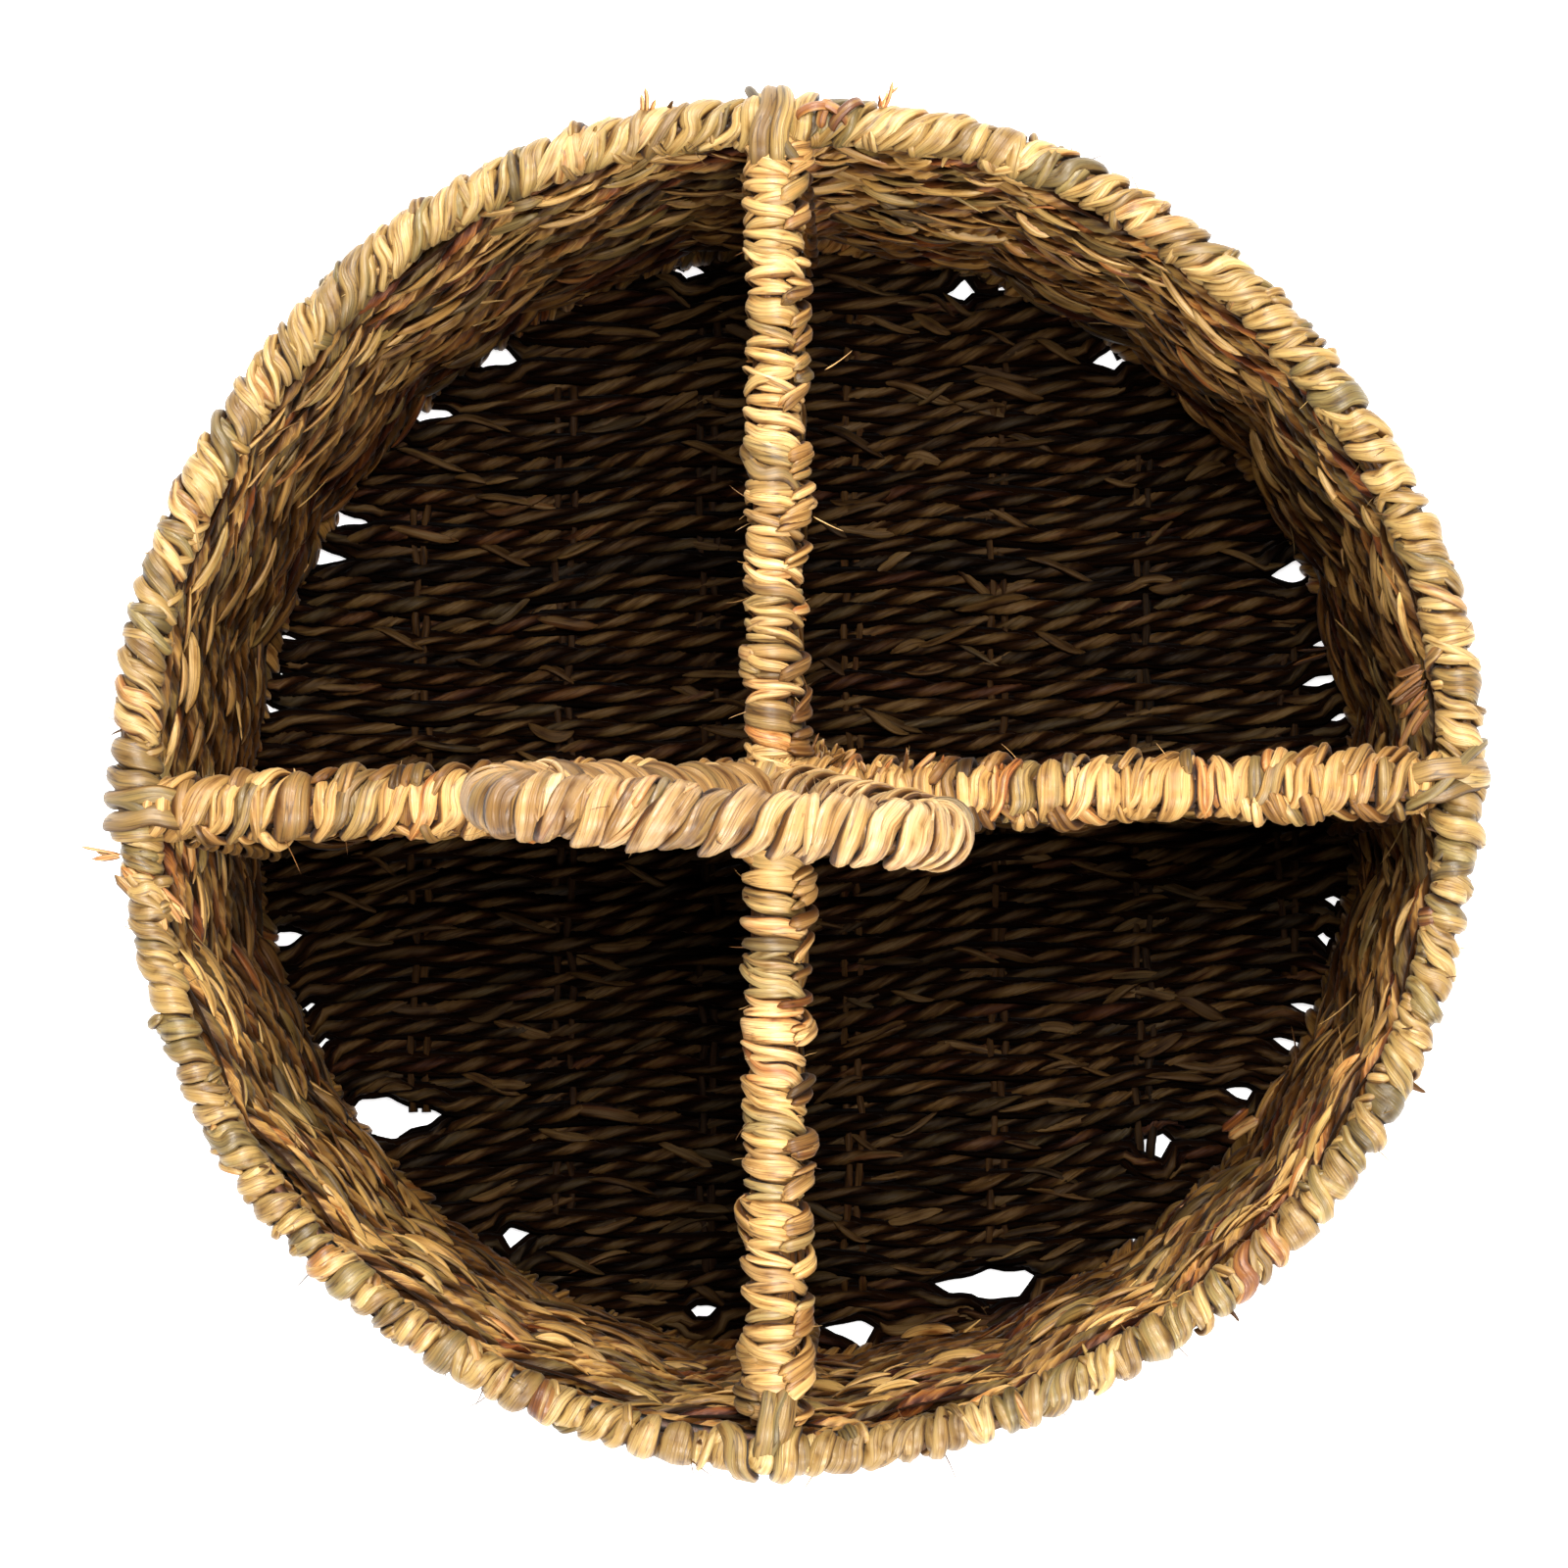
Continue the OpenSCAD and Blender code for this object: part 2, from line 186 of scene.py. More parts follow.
class Strands:
    """Collects strands, then makes them one mesh piece."""

    def __init__(self):
        self.points, self.fibre, self.hue_seed_and_shade = [], [], []
        self.quads, self.caps = [], []
        self.count = 0

    def add(self, path, normal, half_w, half_t, closed=False, sides=8, crease=0.12, creases=3,
            spin=0.02, shade=1.0, under=0.3, depth=None, hue=None, taper=0, square=1.0):
        """A strand along path, its flat side facing normal, with painted shade underneath.

        It has a few creases that turn with spin, with painted shade in their hollows, and flatter
        faces where square is under 1. Where depth is given it also gets painted shade towards a
        middle line, by deep_shade.
        """
        n = len(path)
        ahead = np.roll(path, -1, 0) - np.roll(path, 1, 0) if closed else np.gradient(path, axis=0)
        tangent = unit(ahead)
        side = unit(np.cross(tangent, normal))
        up = np.cross(side, tangent)
        along = distances(path)
        half_w = np.broadcast_to(half_w, n).astype(float).copy()
        half_t = np.broadcast_to(half_t, n).astype(float).copy()
        if taper and not closed:
            ends = np.minimum(along, along[-1] - along) / taper
            squeeze = np.sqrt(np.clip(ends, 0.02, 1))
            half_w *= squeeze
            half_t *= squeeze
        turn = TAU * np.arange(sides) / sides
        twist = math.pi * round(spin) * np.arange(n) / n if closed else spin * along
        ridge = np.abs(np.cos(creases * turn[None] / 2 + between(0, TAU) + twist[:, None]))
        swell = 1 + crease * (ridge - 0.64)
        across, above = (size[:, None] * (np.sign(wave) * np.abs(wave) ** square)[None] * swell
                         for size, wave in ((half_w, np.cos(turn)), (half_t, np.sin(turn))))
        ring = path[:, None] + across[..., None] * side[:, None] + above[..., None] * up[:, None]
        # Painted shade: darker on the strand's underside and edges, and in the hollows between its
        # creases
        light = under + (1 - under) * np.clip((np.sin(turn) + 0.15) / 0.75, 0, 1)
        light = light[None] * (1 - min(4 * crease, 0.6) * (1 - ridge) ** 2)
        if depth is not None:
            light = light * deep_shade(ring, *depth)
        # Each point's leaf hue, its leaf's random seed and its painted shade
        hue_seed_and_shade = np.empty((n, sides, 3))
        hue_seed_and_shade[..., 0] = np.broadcast_to(leaf_hue() if hue is None else hue, n)[:, None]
        hue_seed_and_shade[..., 1] = between()
        hue_seed_and_shade[..., 2] = light * np.broadcast_to(shade, n)[:, None]
        fibre = np.stack([np.broadcast_to(along[:, None], across.shape), across, above], -1)
        self.points.append(ring.reshape(-1, 3))
        self.fibre.append(fibre.reshape(-1, 3))
        self.hue_seed_and_shade.append(hue_seed_and_shade.reshape(-1, 3))
        self.join(n, sides, closed)

    def join(self, n, sides, closed):
        """Faces between a strand's n outlines, and over its two ends where it is open."""
        rows = np.arange(n if closed else n - 1)[:, None]
        cols = np.arange(sides)[None]
        after, beside = (rows + 1) % n, (cols + 1) % sides
        corners = [rows * sides + cols, rows * sides + beside, after * sides + beside,
                   after * sides + cols]
        self.quads.append(np.stack(corners, -1).reshape(-1, 4) + self.count)
        if not closed:
            first = np.arange(sides)[::-1]
            self.caps += [first + self.count, np.arange(sides) + (n - 1) * sides + self.count]
        self.count += n * sides

    def piece(self, name, slot, *nodes):
        """One mesh object that rides on the basket and stands for CAD nodes."""
        mesh = bpy.data.meshes.new(name)
        points = np.concatenate(self.points) * MM
        quads = np.concatenate(self.quads)
        loops = np.concatenate([quads.ravel(), *self.caps]).astype(np.int32)
        sizes = np.concatenate([np.full(len(quads), 4), [len(cap) for cap in self.caps]])
        starts = np.concatenate([[0], np.cumsum(sizes)[:-1]]).astype(np.int32)
        mesh.vertices.add(len(points))
        mesh.vertices.foreach_set("co", points.astype(np.float32).ravel())
        mesh.loops.add(len(loops))
        mesh.loops.foreach_set("vertex_index", loops)
        mesh.polygons.add(len(starts))
        mesh.polygons.foreach_set("loop_start", starts)
        for label, rows in (("fibre", self.fibre), ("hue_seed_and_shade", self.hue_seed_and_shade)):
            attribute = mesh.attributes.new(label, "FLOAT_VECTOR", "POINT")
            attribute.data.foreach_set("vector", np.concatenate(rows).astype(np.float32).ravel())
        mesh.update(calc_edges=True)
        mesh.validate()
        mesh.shade_smooth()
        mesh.materials.append(GRASSES[slot])
        made = bpy.data.objects.new(name, mesh)
        bpy.context.scene.collection.objects.link(made)
        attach(made, "root")
        if nodes:
            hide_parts(*nodes)
        return made


CORE_STEP = 3.0  # between a core's points


class Core:
    """The middle line that leaves are bound round, with its outward and upward directions."""

    def __init__(self, path, up=UP, closed=False):
        self.closed = closed
        up = np.broadcast_to(up, path.shape)
        if closed:
            path, up = np.vstack([path, path[:1]]), np.vstack([up, up[:1]])
        self.s = distances(path)
        self.length = self.s[-1]
        self.path, self.up = path, up

    def at(self, s):
        """Place, outward and upward direction at distance s along the line."""
        if self.closed:
            s = np.mod(s, self.length)
        eps = 0.5
        up = unit(read_line(s, self.s, self.up))
        before, after = (read_line(np.clip(s + step, 0, self.length), self.s, self.path)
                         for step in (-eps, eps))
        tangent = unit(after - before)
        out = unit(np.cross(tangent, up))
        return read_line(s, self.s, self.path), out, unit(np.cross(out, tangent))

    def around(self, s, angle, radius):
        """Points on the binding at distance s, turned by angle, and the outward direction."""
        place, out, up = self.at(s)
        away = out * np.cos(angle)[:, None] + up * np.sin(angle)[:, None]
        return place + away * np.broadcast_to(radius, len(s))[:, None], away


# -------- what strands are made into

def cord(strands, path, normal, ply_r=1.62, pitch=21, shade=1.0, broad=1.2):
    """Two leaves twisted round each other along path, with painted shade in the grooves beside it."""
    along = distances(path)
    tangent = unit(np.gradient(path, axis=0))
    side = unit(np.cross(tangent, normal))
    up = np.cross(side, tangent)
    turn = TAU * along / pitch + wander(along, 50, 1.1) + between(0, TAU)
    for half in (0, math.pi):
        away = np.cos(turn + half)[:, None] * side + np.sin(turn + half)[:, None] * up
        thick = ply_r * (1 + wander(along, 12, 0.28))
        hue = np.clip(leaf_hue() + wander(along, 60, 0.4), 0, 1)
        strands.add(path + away * ply_r * 0.8, away, thick * broad, thick * 0.85, crease=0.2,
                    spin=0.1, hue=hue, shade=shade, under=0.2, taper=4,
                    depth=(path, normal, 0.1 * ply_r, 1.5 * ply_r))


def wrap(strands, core, s, radius, width, thick, slant=0.0, sway=0.0, roll=0.0, neck=0.8,
         flare=0.0, fan=0.0, steps=32, sides=14, hue=None, shade=1.0, square=0.85, under=0.12):
    """One leaf wound once round a core.

    Slant moves its inner side ahead of its outer side and sway bends it into an S. Roll lifts
    one of its edges, neck is its share of the width where it goes down the core's sides, flare
    makes it broader on top than underneath, and fan broader on its outer side.
    """
    angle = TAU * np.arange(steps) / steps - math.pi / 2
    ahead = s - slant * (np.cos(angle) + sway * np.cos(3 * angle))
    start = between(0, TAU)
    path, away = core.around(ahead, angle, radius + 0.3 * np.cos(2 * angle + start))
    middle, out, up = core.at(ahead)
    facing = away * math.cos(roll) + np.cross(up, out) * math.sin(roll)
    broad = (neck + (1 - neck) * np.sin(angle) ** 2) * (1 + flare * np.sin(angle))
    half_w = width / 2 * broad * (1 + fan * np.cos(angle))
    half_t = thick / 2 * (1 - 0.15 * np.cos(angle) ** 2)
    # Painted shade on its underside and edges, and where it lies low on the core
    strands.add(path, facing, half_w, half_t, closed=True, sides=sides, crease=0.2,
                creases=random.integers(3, 6), spin=random.integers(-2, 3), hue=hue, shade=shade,
                under=under, square=square,
                depth=(middle, away, radius - 0.4 * thick, radius + 0.22 * thick))


def bind(strands, core, first, last, radius, pitch, width, thick, slant, roll, neck, sway=0.15,
         second=0.6, crossing=0.12, shade=1.0, cross=0.28, stray=0.5, alone=0.3):
    """Leaves bound round a core, some alone and some in pairs that cross on top of it.

    A few more leaves fill the grooves, and some lie across. Slant is a function of the distance.
    """
    s = first
    while s < last:
        gap = pitch * between(0.68, 1.38)
        tilt = slant(s) * between(0.75, 1.25) + random.normal(0, stray)
        hue = leaf_hue()
        single = between() < alone
        for turn in [0] if single else random.permutation([-1, 1]):
            share = between(0.84, 1.0) if single else between(0.46, 0.68)
            wrap(strands, core, s + gap * (0.5 + 0.17 * turn), radius + 0.3 * turn
                 + between(-0.4, 0.4), gap * width * share,
                 thick * between(0.85, 1.1), tilt + turn * cross * gap,
                 sway + random.normal(0, 0.1), roll * between(0.2, 1.4),
                 neck * between(0.85, 1.1), fan=between(-0.1, 0.25), shade=shade,
                 hue=near_hue(hue, 0.08), sides=12)
        # A leaf that fills the groove lies deeper, with painted shade
        if between() < second:
            wrap(strands, core, s + gap * between(0.85, 1.1), radius - 0.3 * thick,
                 gap * width * between(0.4, 0.7), thick * 0.7,
                 tilt + random.normal(0, 1.8), sway, -roll, neck, shade=shade * 0.62,
                 hue=near_hue(hue, 0.15), sides=12)
        if between() < crossing:
            wrap(strands, core, s, radius + 0.25 * thick, gap * between(0.4, 0.6),
                 thick * 0.5, tilt + random.choice([-1, 1]) * pitch * 0.5, sway, 0, neck, hue=hue,
                 shade=shade, sides=12)
        s += gap


def stuffing(strands, core, radius, first, last):
    """Rough strands along a core, with painted shade, seen only between the leaves bound over them."""
    s = np.arange(first, last, 4.0)
    for i in range(6):
        angle = TAU * i / 6 + wander(s, 30, 0.4)
        path, away = core.around(s, angle, radius * 0.64)
        strands.add(path, away, radius * 0.4, radius * 0.32, sides=6, shade=0.35)


def lock(strands, core, s, radius, side, reach, width, thick, shade=0.8, top=1.2, foot=-0.75):
    """The end of a leaf, split into strips, that turns down over an edge of its core, with painted shade.
    """
    t = np.linspace(0, 1, 12)
    hue = leaf_hue()
    for strip in range(random.integers(1, 4)):
        start = top * between(0.8, 1.2)
        angle = start + (foot * between(0.6, 1.3) - start) * t
        angle = angle if side > 0 else math.pi - angle
        rise = radius + thick * (between(-0.3, 0.2) + between(0.3, 0.9)
                                 * np.sin(math.pi * t))
        bow = between(-1.6, 1.6) * np.sin(math.pi * t)
        path, away = core.around(s + 1.5 * strip + reach * t**0.8 + bow, angle, rise)
        _, out, up = core.at(s + reach * t)
        facing = away + np.cross(up, out) * random.normal(0, 0.5)
        strands.add(path, facing, width / 2 * between(0.5, 1.0) * (1 - 0.2 * t), thick / 2,
                    sides=10, crease=0.22, shade=shade, taper=2.2, square=0.85,
                    hue=near_hue(hue, 0.1))


def fibre(strands, root, heading, length, radius=0.22, curl=0.5, flat=1.6, hue=None):
    """A loose fibre that starts at root, heads away and curls."""
    t = np.linspace(0, 1, 9)[:, None]
    heading = unit(heading)
    bend = unit(np.cross(heading, random.normal(size=3)))
    path = root + length * (heading * t + bend * curl * t**2 * between(0.3, 1))
    size = radius * (1 - 0.7 * t[:, 0])
    strands.add(path, bend, size * flat, size, sides=6, crease=0.1,
                hue=hue, taper=0.6)


# -------- materials

def linear(red, green, blue):
    """A colour as it looks on a screen, from 0 to 255, as the renderer's linear light."""
    level = [c / 255 for c in (red, green, blue)]
    return [c / 12.92 if c <= 0.04045 else ((c + 0.055) / 1.055) ** 2.4 for c in level] + [1.0]


STRAW = [
    (0.00, (132, 118, 74)),
    (0.16, (164, 146, 94)),
    (0.36, (197, 168, 107)),
    (0.56, (211, 180, 119)),
    (0.74, (230, 205, 150)),
    (0.86, (212, 166, 104)),
    (0.94, (192, 134, 70)),
    (1.00, (156, 98, 50)),
]


def tuned(palette, gain):
    """A palette with its red, green and blue multiplied by the three gains."""
    return [(stop, tuple(c * g for c, g in zip(colour, gain))) for stop, colour in palette]


class Nodes:
    """Builds the nodes of a material or a world, which all lead to its last one."""

    def __init__(self, owner, last="Principled BSDF"):
        owner.use_nodes = True
        self.owner, self.tree = owner, owner.node_tree
        self.last = self.tree.nodes[last]

    def fill(self, node, inputs):
        """Set or link a node's inputs."""
        for key, value in inputs.items():
            if isinstance(value, bpy.types.NodeSocket):
                self.tree.links.new(value, node.inputs[key])
            else:
                node.inputs[key].default_value = value

    def node(self, kind, inputs, output=0, **settings):
        """One output of a new node."""
        made = self.tree.nodes.new(kind)
        for key, value in settings.items():
            setattr(made, key, value)
        self.fill(made, inputs)
        return made.outputs[output]

    def attribute(self, name):
        return self.node("ShaderNodeAttribute", {}, "Vector", attribute_name=name)

    def apart(self, vector):
        made = self.tree.nodes.new("ShaderNodeSeparateXYZ")
        self.fill(made, {0: vector})
        return made.outputs

    def maths(self, operation, a, b=0.0):
        return self.node("ShaderNodeMath", {0: a, 1: b}, operation=operation)

    def vectors(self, operation, a, b):
        return self.node("ShaderNodeVectorMath", {0: a, 1: b}, operation=operation)

    def noise(self, place, scale, detail, roughness):
        return self.node("ShaderNodeTexNoise", {"Vector": place, "Scale": scale, "Detail": detail,
                                                "Roughness": roughness}, "Fac")

    def ramp(self, factor, stops):
        made = self.tree.nodes.new("ShaderNodeValToRGB")
        elements = made.color_ramp.elements
        while len(elements) < len(stops):
            elements.new(0.5)
        for element, (place, colour) in zip(elements, stops):
            element.position = place
            element.color = linear(*colour) if len(colour) == 3 else colour
        self.fill(made, {"Fac": factor})
        return made.outputs["Color"]

    def times(self, factor, a, b):
        """Colour a multiplied by b, by a share of factor."""
        return self.node("ShaderNodeMix", {0: factor, 6: a, 7: b}, 2, data_type="RGBA",
                         blend_type="MULTIPLY")

    def bump(self, height, strength, millimetres, **under):
        return self.node("ShaderNodeBump", {"Height": height, "Strength": strength,
                                            "Distance": millimetres * MM, **under})


WHITE = (255, 255, 255)


def seagrass(name, palette, spread, roughness, gloss, bump, sheen=0.05):
    """Dried seagrass: each leaf has its own hue and fine fibres run along it. Painted shade,
    read from each strand's points, darkens its grooves, creases and undersides, and thin painted
    shade lines mark its folds. Spread is how far hues move along the palette, and roughness is
    that of the shiniest and of the most matt fibres."""
    m = Nodes(bpy.data.materials.new(name))
    hue, seed, shade = m.apart(m.attribute("hue_seed_and_shade"))

    # Each leaf reads its own part of the noise, which is drawn out along the leaf
    start = m.node("ShaderNodeCombineXYZ", {0: m.maths("MULTIPLY", seed, 431.0),
                                            1: m.maths("MULTIPLY", seed, 173.0)})
    leaf = m.vectors("ADD", m.attribute("fibre"), start)
    fine = m.noise(m.vectors("MULTIPLY", leaf, (0.09, 2.6, 2.6)), 1.0, 3.0, 0.6)
    bands = m.noise(m.vectors("MULTIPLY", leaf, (0.05, 0.6, 0.6)), 1.0, 2.0, 0.5)
    specks = m.noise(leaf, 0.8, 3.0, 0.7)
    patch = m.noise(m.node("ShaderNodeTexCoord", {}, "Object"), 19.0, 2.0, 0.5)

    where = 0.45
    for value, usual, share in ((hue, 0.47, spread), (bands, 0.5, 0.75), (patch, 0.5, 0.55)):
        where = m.maths("ADD", where, m.maths("MULTIPLY", m.maths("SUBTRACT", value, usual), share))
    colour = m.ramp(where, palette)
    # Thin dark lines along the folds, in the creases of the bump, are painted shade
    folds = m.noise(m.vectors("MULTIPLY", leaf, (0.03, 0.6, 0.6)), 1.0, 1.0, 0.4)
    edge = m.maths("ABSOLUTE", m.maths("SUBTRACT", folds, 0.5))
    # The colour is multiplied by fibre streaks, painted shade lines in the folds, rust specks, each
    # leaf's own brightness and the painted shade from the strands' points
    for share, value, stops in (
            (0.6, fine, [(0.34, (176, 160, 136)), (0.52, (244, 240, 234)), (0.66, WHITE)]),
            (0.75, edge, [(0.0, (92, 66, 40)), (0.016, (236, 228, 216)), (0.04, WHITE)]),
            (0.6, specks, [(0.64, WHITE), (0.74, (176, 112, 64))]),
            (1.0, seed, [(0.0, (184, 176, 164)), (0.4, (232, 228, 222)), (1.0, WHITE)]),
            (1.0, shade, [(0.0, (40, 25, 12)), (0.3, (124, 98, 66)), (0.62, (212, 200, 180)),
                          (1.0, WHITE)])):
        colour = m.times(share, colour, m.ramp(value, stops))

    shiny, matt = roughness
    rough = m.node("ShaderNodeMapRange", {"Value": fine, "From Min": 0.3, "From Max": 0.7,
                                          "To Min": matt, "To Max": shiny})
    ridges = m.bump(m.maths("MINIMUM", edge, 0.1), 0.6, 1.5)
    # Specular follows the painted shade, so shaded places shine less
    m.fill(m.last, {"Base Color": colour, "Roughness": rough, "Sheen Weight": sheen,
                    "Sheen Roughness": 0.5, "Specular IOR Level": m.maths("MULTIPLY", shade, gloss),
                    "Normal": m.bump(fine, bump, 0.4, Normal=ridges)})
    return m.owner


def dull_wire(name):
    """Blackened steel wire, spotted with rust."""
    m = Nodes(bpy.data.materials.new(name))
    spots = m.noise(m.node("ShaderNodeTexCoord", {}, "Object"), 160.0, 4.0, 0.7)
    m.fill(m.last, {"Base Color": m.ramp(spots, [(0.45, (52, 49, 46)), (0.62, (96, 62, 42))]),
                    "Roughness": m.maths("MULTIPLY", spots, 0.9), "Metallic": 0.8,
                    "Normal": m.bump(spots, 0.4, 0.3)})
    return m.owner


# Each slot's colour gains, spread, roughness, gloss, bump and, where it is less, sheen
LOOKS = {
    "rim_seagrass": ((0.95, 0.92, 0.84), 1.0, (0.3, 0.56), 0.7, 0.35),
    "bar_seagrass": ((1.13, 1.07, 1.02), 1.0, (0.3, 0.56), 0.7, 0.35),
    "handle_seagrass": ((1.045, 1.005, 1.0), 0.95, (0.28, 0.5), 0.8, 0.3),
    "wall_seagrass": ((1.12, 1.05, 0.93), 1.2, (0.36, 0.62), 0.6, 0.4),
    # The floor's low gains are painted shade, for it lies deep in the basket; the stakes' low gains are
    # painted shade too, for they lie behind the rows
    "floor_seagrass": ((0.48, 0.42, 0.325), 1.0, (0.5, 0.8), 0.2, 0.4, 0.01),
    "stake_seagrass": ((0.4, 0.33, 0.23), 0.9, (0.5, 0.8), 0.15, 0.4, 0.01),
}
GRASSES = {slot: seagrass(slot, tuned(STRAW, gain), *look)
           for slot, (gain, *look) in LOOKS.items()}
WIRE = dull_wire("frame_wire")


# -------- rim and foot

RIM_WOBBLE = 1.0  # how far the bound rim strays from its circle, by hand
RIM_NEAR = 2.7    # how far its near side leans out


def circle_core(radius, z, wobble=0.0, near=0.0):
    """A core that runs anticlockwise round the basket's axis, a little uneven by hand."""
    count = int(TAU * radius / CORE_STEP)
    angle = TAU * np.arange(count) / count
    out = radius + wobble * (np.sin(3 * angle + 0.7) + 0.7 * np.sin(7 * angle) - 0.5)
    out += near * np.clip(-2.5 * np.sin(angle), 0, 1)
    level = z + 0.5 * wobble * (np.sin(4 * angle + 2) + 0.6 * np.sin(11 * angle) - 0.6)
    return Core(round_axis(angle, out, level), closed=True)


def rim_core():
    return circle_core(RIM_R, RIM_Z, RIM_WOBBLE, RIM_NEAR)


def rim():
    """The bound rim, in four lengths: leaves that slant most on the far side, and leaf ends,
    most of them along its inner edge. The near half is a little thinner."""
    core = rim_core()
    for i in range(4):
        strands = Strands()
        radius = RIM_SECTION - RIM_INSET["far" if i < 2 else "near"]
        first, last = i * core.length / 4, (i + 1) * core.length / 4
        stuffing(strands, core, radius, first, last + 4)
        bind(strands, core, first, last, radius, ROW_H * 1.28, 1.0 if i < 2 else 1.16, 4.6,
             slant=lambda s: 2.8 + 1.6 * math.sin(s / RIM_R), roll=-0.25, neck=0.82, second=0.45,
             crossing=0.2, cross=0.25 if i < 2 else 0.12, stray=0.9 if i < 2 else 0.6,
             alone=0.5)
        s = first
        while s < last:
            lock(strands, core, s, radius, random.choice([-1, -1, 1]), between(-8, 2),
                 between(2.6, 4.4), between(1.8, 2.6), top=1.1, foot=-0.5)
            s += ROW_H * between(1, 2.6)
        strands.piece(f"rim_leaves_{i + 1}", "rim_seagrass", "rim_binding")


def foot():
    """The bound foot ring, flattened where it rests."""
    core = circle_core(FOOT_R, FOOT_Z)
    radius = FOOT_SECTION - FOOT_INSET
    half = core.length / 2
    for i in range(2):
        strands = Strands()
        stuffing(strands, core, radius, i * half, (i + 1) * half + 4)
        # The foot ring's leaves get painted shade
        bind(strands, core, i * half, (i + 1) * half, radius, ROW_H * 1.1, 1.18, 2.8,
             slant=lambda s: 3.0, roll=-0.25, neck=0.75, second=0.5, shade=0.5)
        for points in strands.points:
            points[:, 2] = np.maximum(points[:, 2], 0.15)
        strands.piece(f"foot_leaves_{i + 1}", "wall_seagrass", "foot_binding")


# -------- wall

def wall_mid(z):
    return FOOT_R + (WALL_TOP_R - FOOT_R) * (z - WALL_LOW) / (WALL_HIGH - WALL_LOW)


def overlays(strands, line, face, offset, count, shade):
    """Flat leaves that lie over a row and cross it at a small angle.

    line(u) gives the row's points, the direction it faces and the one across it, at places u.
    """
    first, last = line.span
    for _ in range(count):
        size = between(10, 22)
        start = between(first, last - size)
        t = np.linspace(-1, 1, 11)
        points, normal, aside = line(start + size * (t + 1) / 2)
        normal = face * normal
        climb = between(-4, 4) * np.sin(1.3 * t) + random.normal(0, 0.9) * (1 - t * t)
        lift = offset + between(-0.2, 1.2) + 0.9 * (1 - t * t) - 0.5
        path = points + normal * lift[:, None] + aside * climb[:, None]
        strands.add(path, normal + aside * between(-0.3, 1.5), between(1.0, 2.1),
                    between(0.5, 0.9), creases=4, crease=0.3, spin=0.12,
                    shade=shade * between(0.85, 1.35), under=0.15, taper=5)


class WallRow:
    """The middle line of one turn of the wall's spiral."""

    def __init__(self, row, row_h):
        self.row, self.row_h = row, row_h
        self.span = (0, TAU * FOOT_R)
        self.seed = between(0, TAU, 4)
        self.bulge = between(-0.6, 0.6)

    def __call__(self, u):
        turn = u / FOOT_R
        z = WALL_LOW + self.row_h * (self.row + turn / TAU)
        z = np.clip(z, WALL_LOW + 2.0, WALL_HIGH - 0.5)
        weave = np.cos(WALL_STAKES / 2 * (turn + TAU * self.row))
        a, b, c, d = self.seed
        out = wall_mid(z) + WALL_SWING * weave + 0.4 * np.sin(5 * turn + a) + self.bulge * np.sin(
            14 * turn + b)
        sag = 1.1 * np.sin(7 * turn + z / 30) + 0.9 * np.sin(17 * turn - z / 19)
        edges = np.clip(np.minimum(z - WALL_LOW, WALL_HIGH - z) / 15, 0, 1)
        z = z + sag * edges + 0.4 * np.sin(9 * turn + c) + 0.3 * np.sin(23 * turn + d)
        return round_axis(turn, out, z), round_axis(turn, 1.0, 0 * turn), UP


def wall():
    """One long spiral of rows that passes in and out of an odd number of stakes, and a plain
    row that closes it under the rim."""
    rows = round((WALL_HIGH - WALL_LOW) / ROW_H)
    row_h = (WALL_HIGH - WALL_LOW) / rows
    parts = 4
    for part in range(parts):
        strands = Strands()
        for i in range(rows * part // parts, rows * (part + 1) // parts):
            row = WallRow(i, row_h)
            u = np.arange(0, row.span[1] + 3, 2.8)
            path, away, _ = row(u)
            high = (i + 0.5) / rows
            # Painted shade: rows lower in the basket are darker
            shade = 0.4 + 0.6 * high**0.9
            cord(strands, path, away, 1.72, between(24, 36), 0.9 * shade, 1.35)
            # A strip with painted shade closes the chinks up to the next row
            strands.add(path[::2], away[::2], 4.9, 0.5, sides=6, shade=0.2 * shade)
            for face, count in ((-1, 32), (1, 12)):
                overlays(strands, row, face, 2.5, count, shade)
        if part == parts - 1:
            top = circle_core(WALL_TOP_R, WALL_HIGH + 1.5, near=0.6 * RIM_NEAR).path
            away = unit(top * [1, 1, 0])
            # A last row and a strip, both with painted shade, close it under the rim
            cord(strands, top, away, 2.0, 28, 0.8, 1.5)
            strands.add(top, away, 4.5, 1.0, sides=6, shade=0.3)
        strands.piece(f"wall_rows_{part + 1}", "wall_seagrass", "wall_weave")


def wall_stakes():
    """Each stake is a pair of thin cords that stands between the rows."""
    strands = Strands()
    z = np.arange(WALL_LOW, WALL_HIGH, 5.0)
    for i in range(WALL_STAKES):
        angle = i * TAU / WALL_STAKES
        away = away_at(angle)
        for offset in (-1.4, 1.4):
            path = wall_mid(z)[:, None] * away + offset * beside(away) + z[:, None] * UP
            strands.add(path, away, 1.5, 1.4, sides=6, spin=0.2, shade=0.6)
    strands.piece("wall_stake_cords", "stake_seagrass", "wall_stakes")


# -------- floor

FLOOR_MID = FLOOR_LOW + 4.4


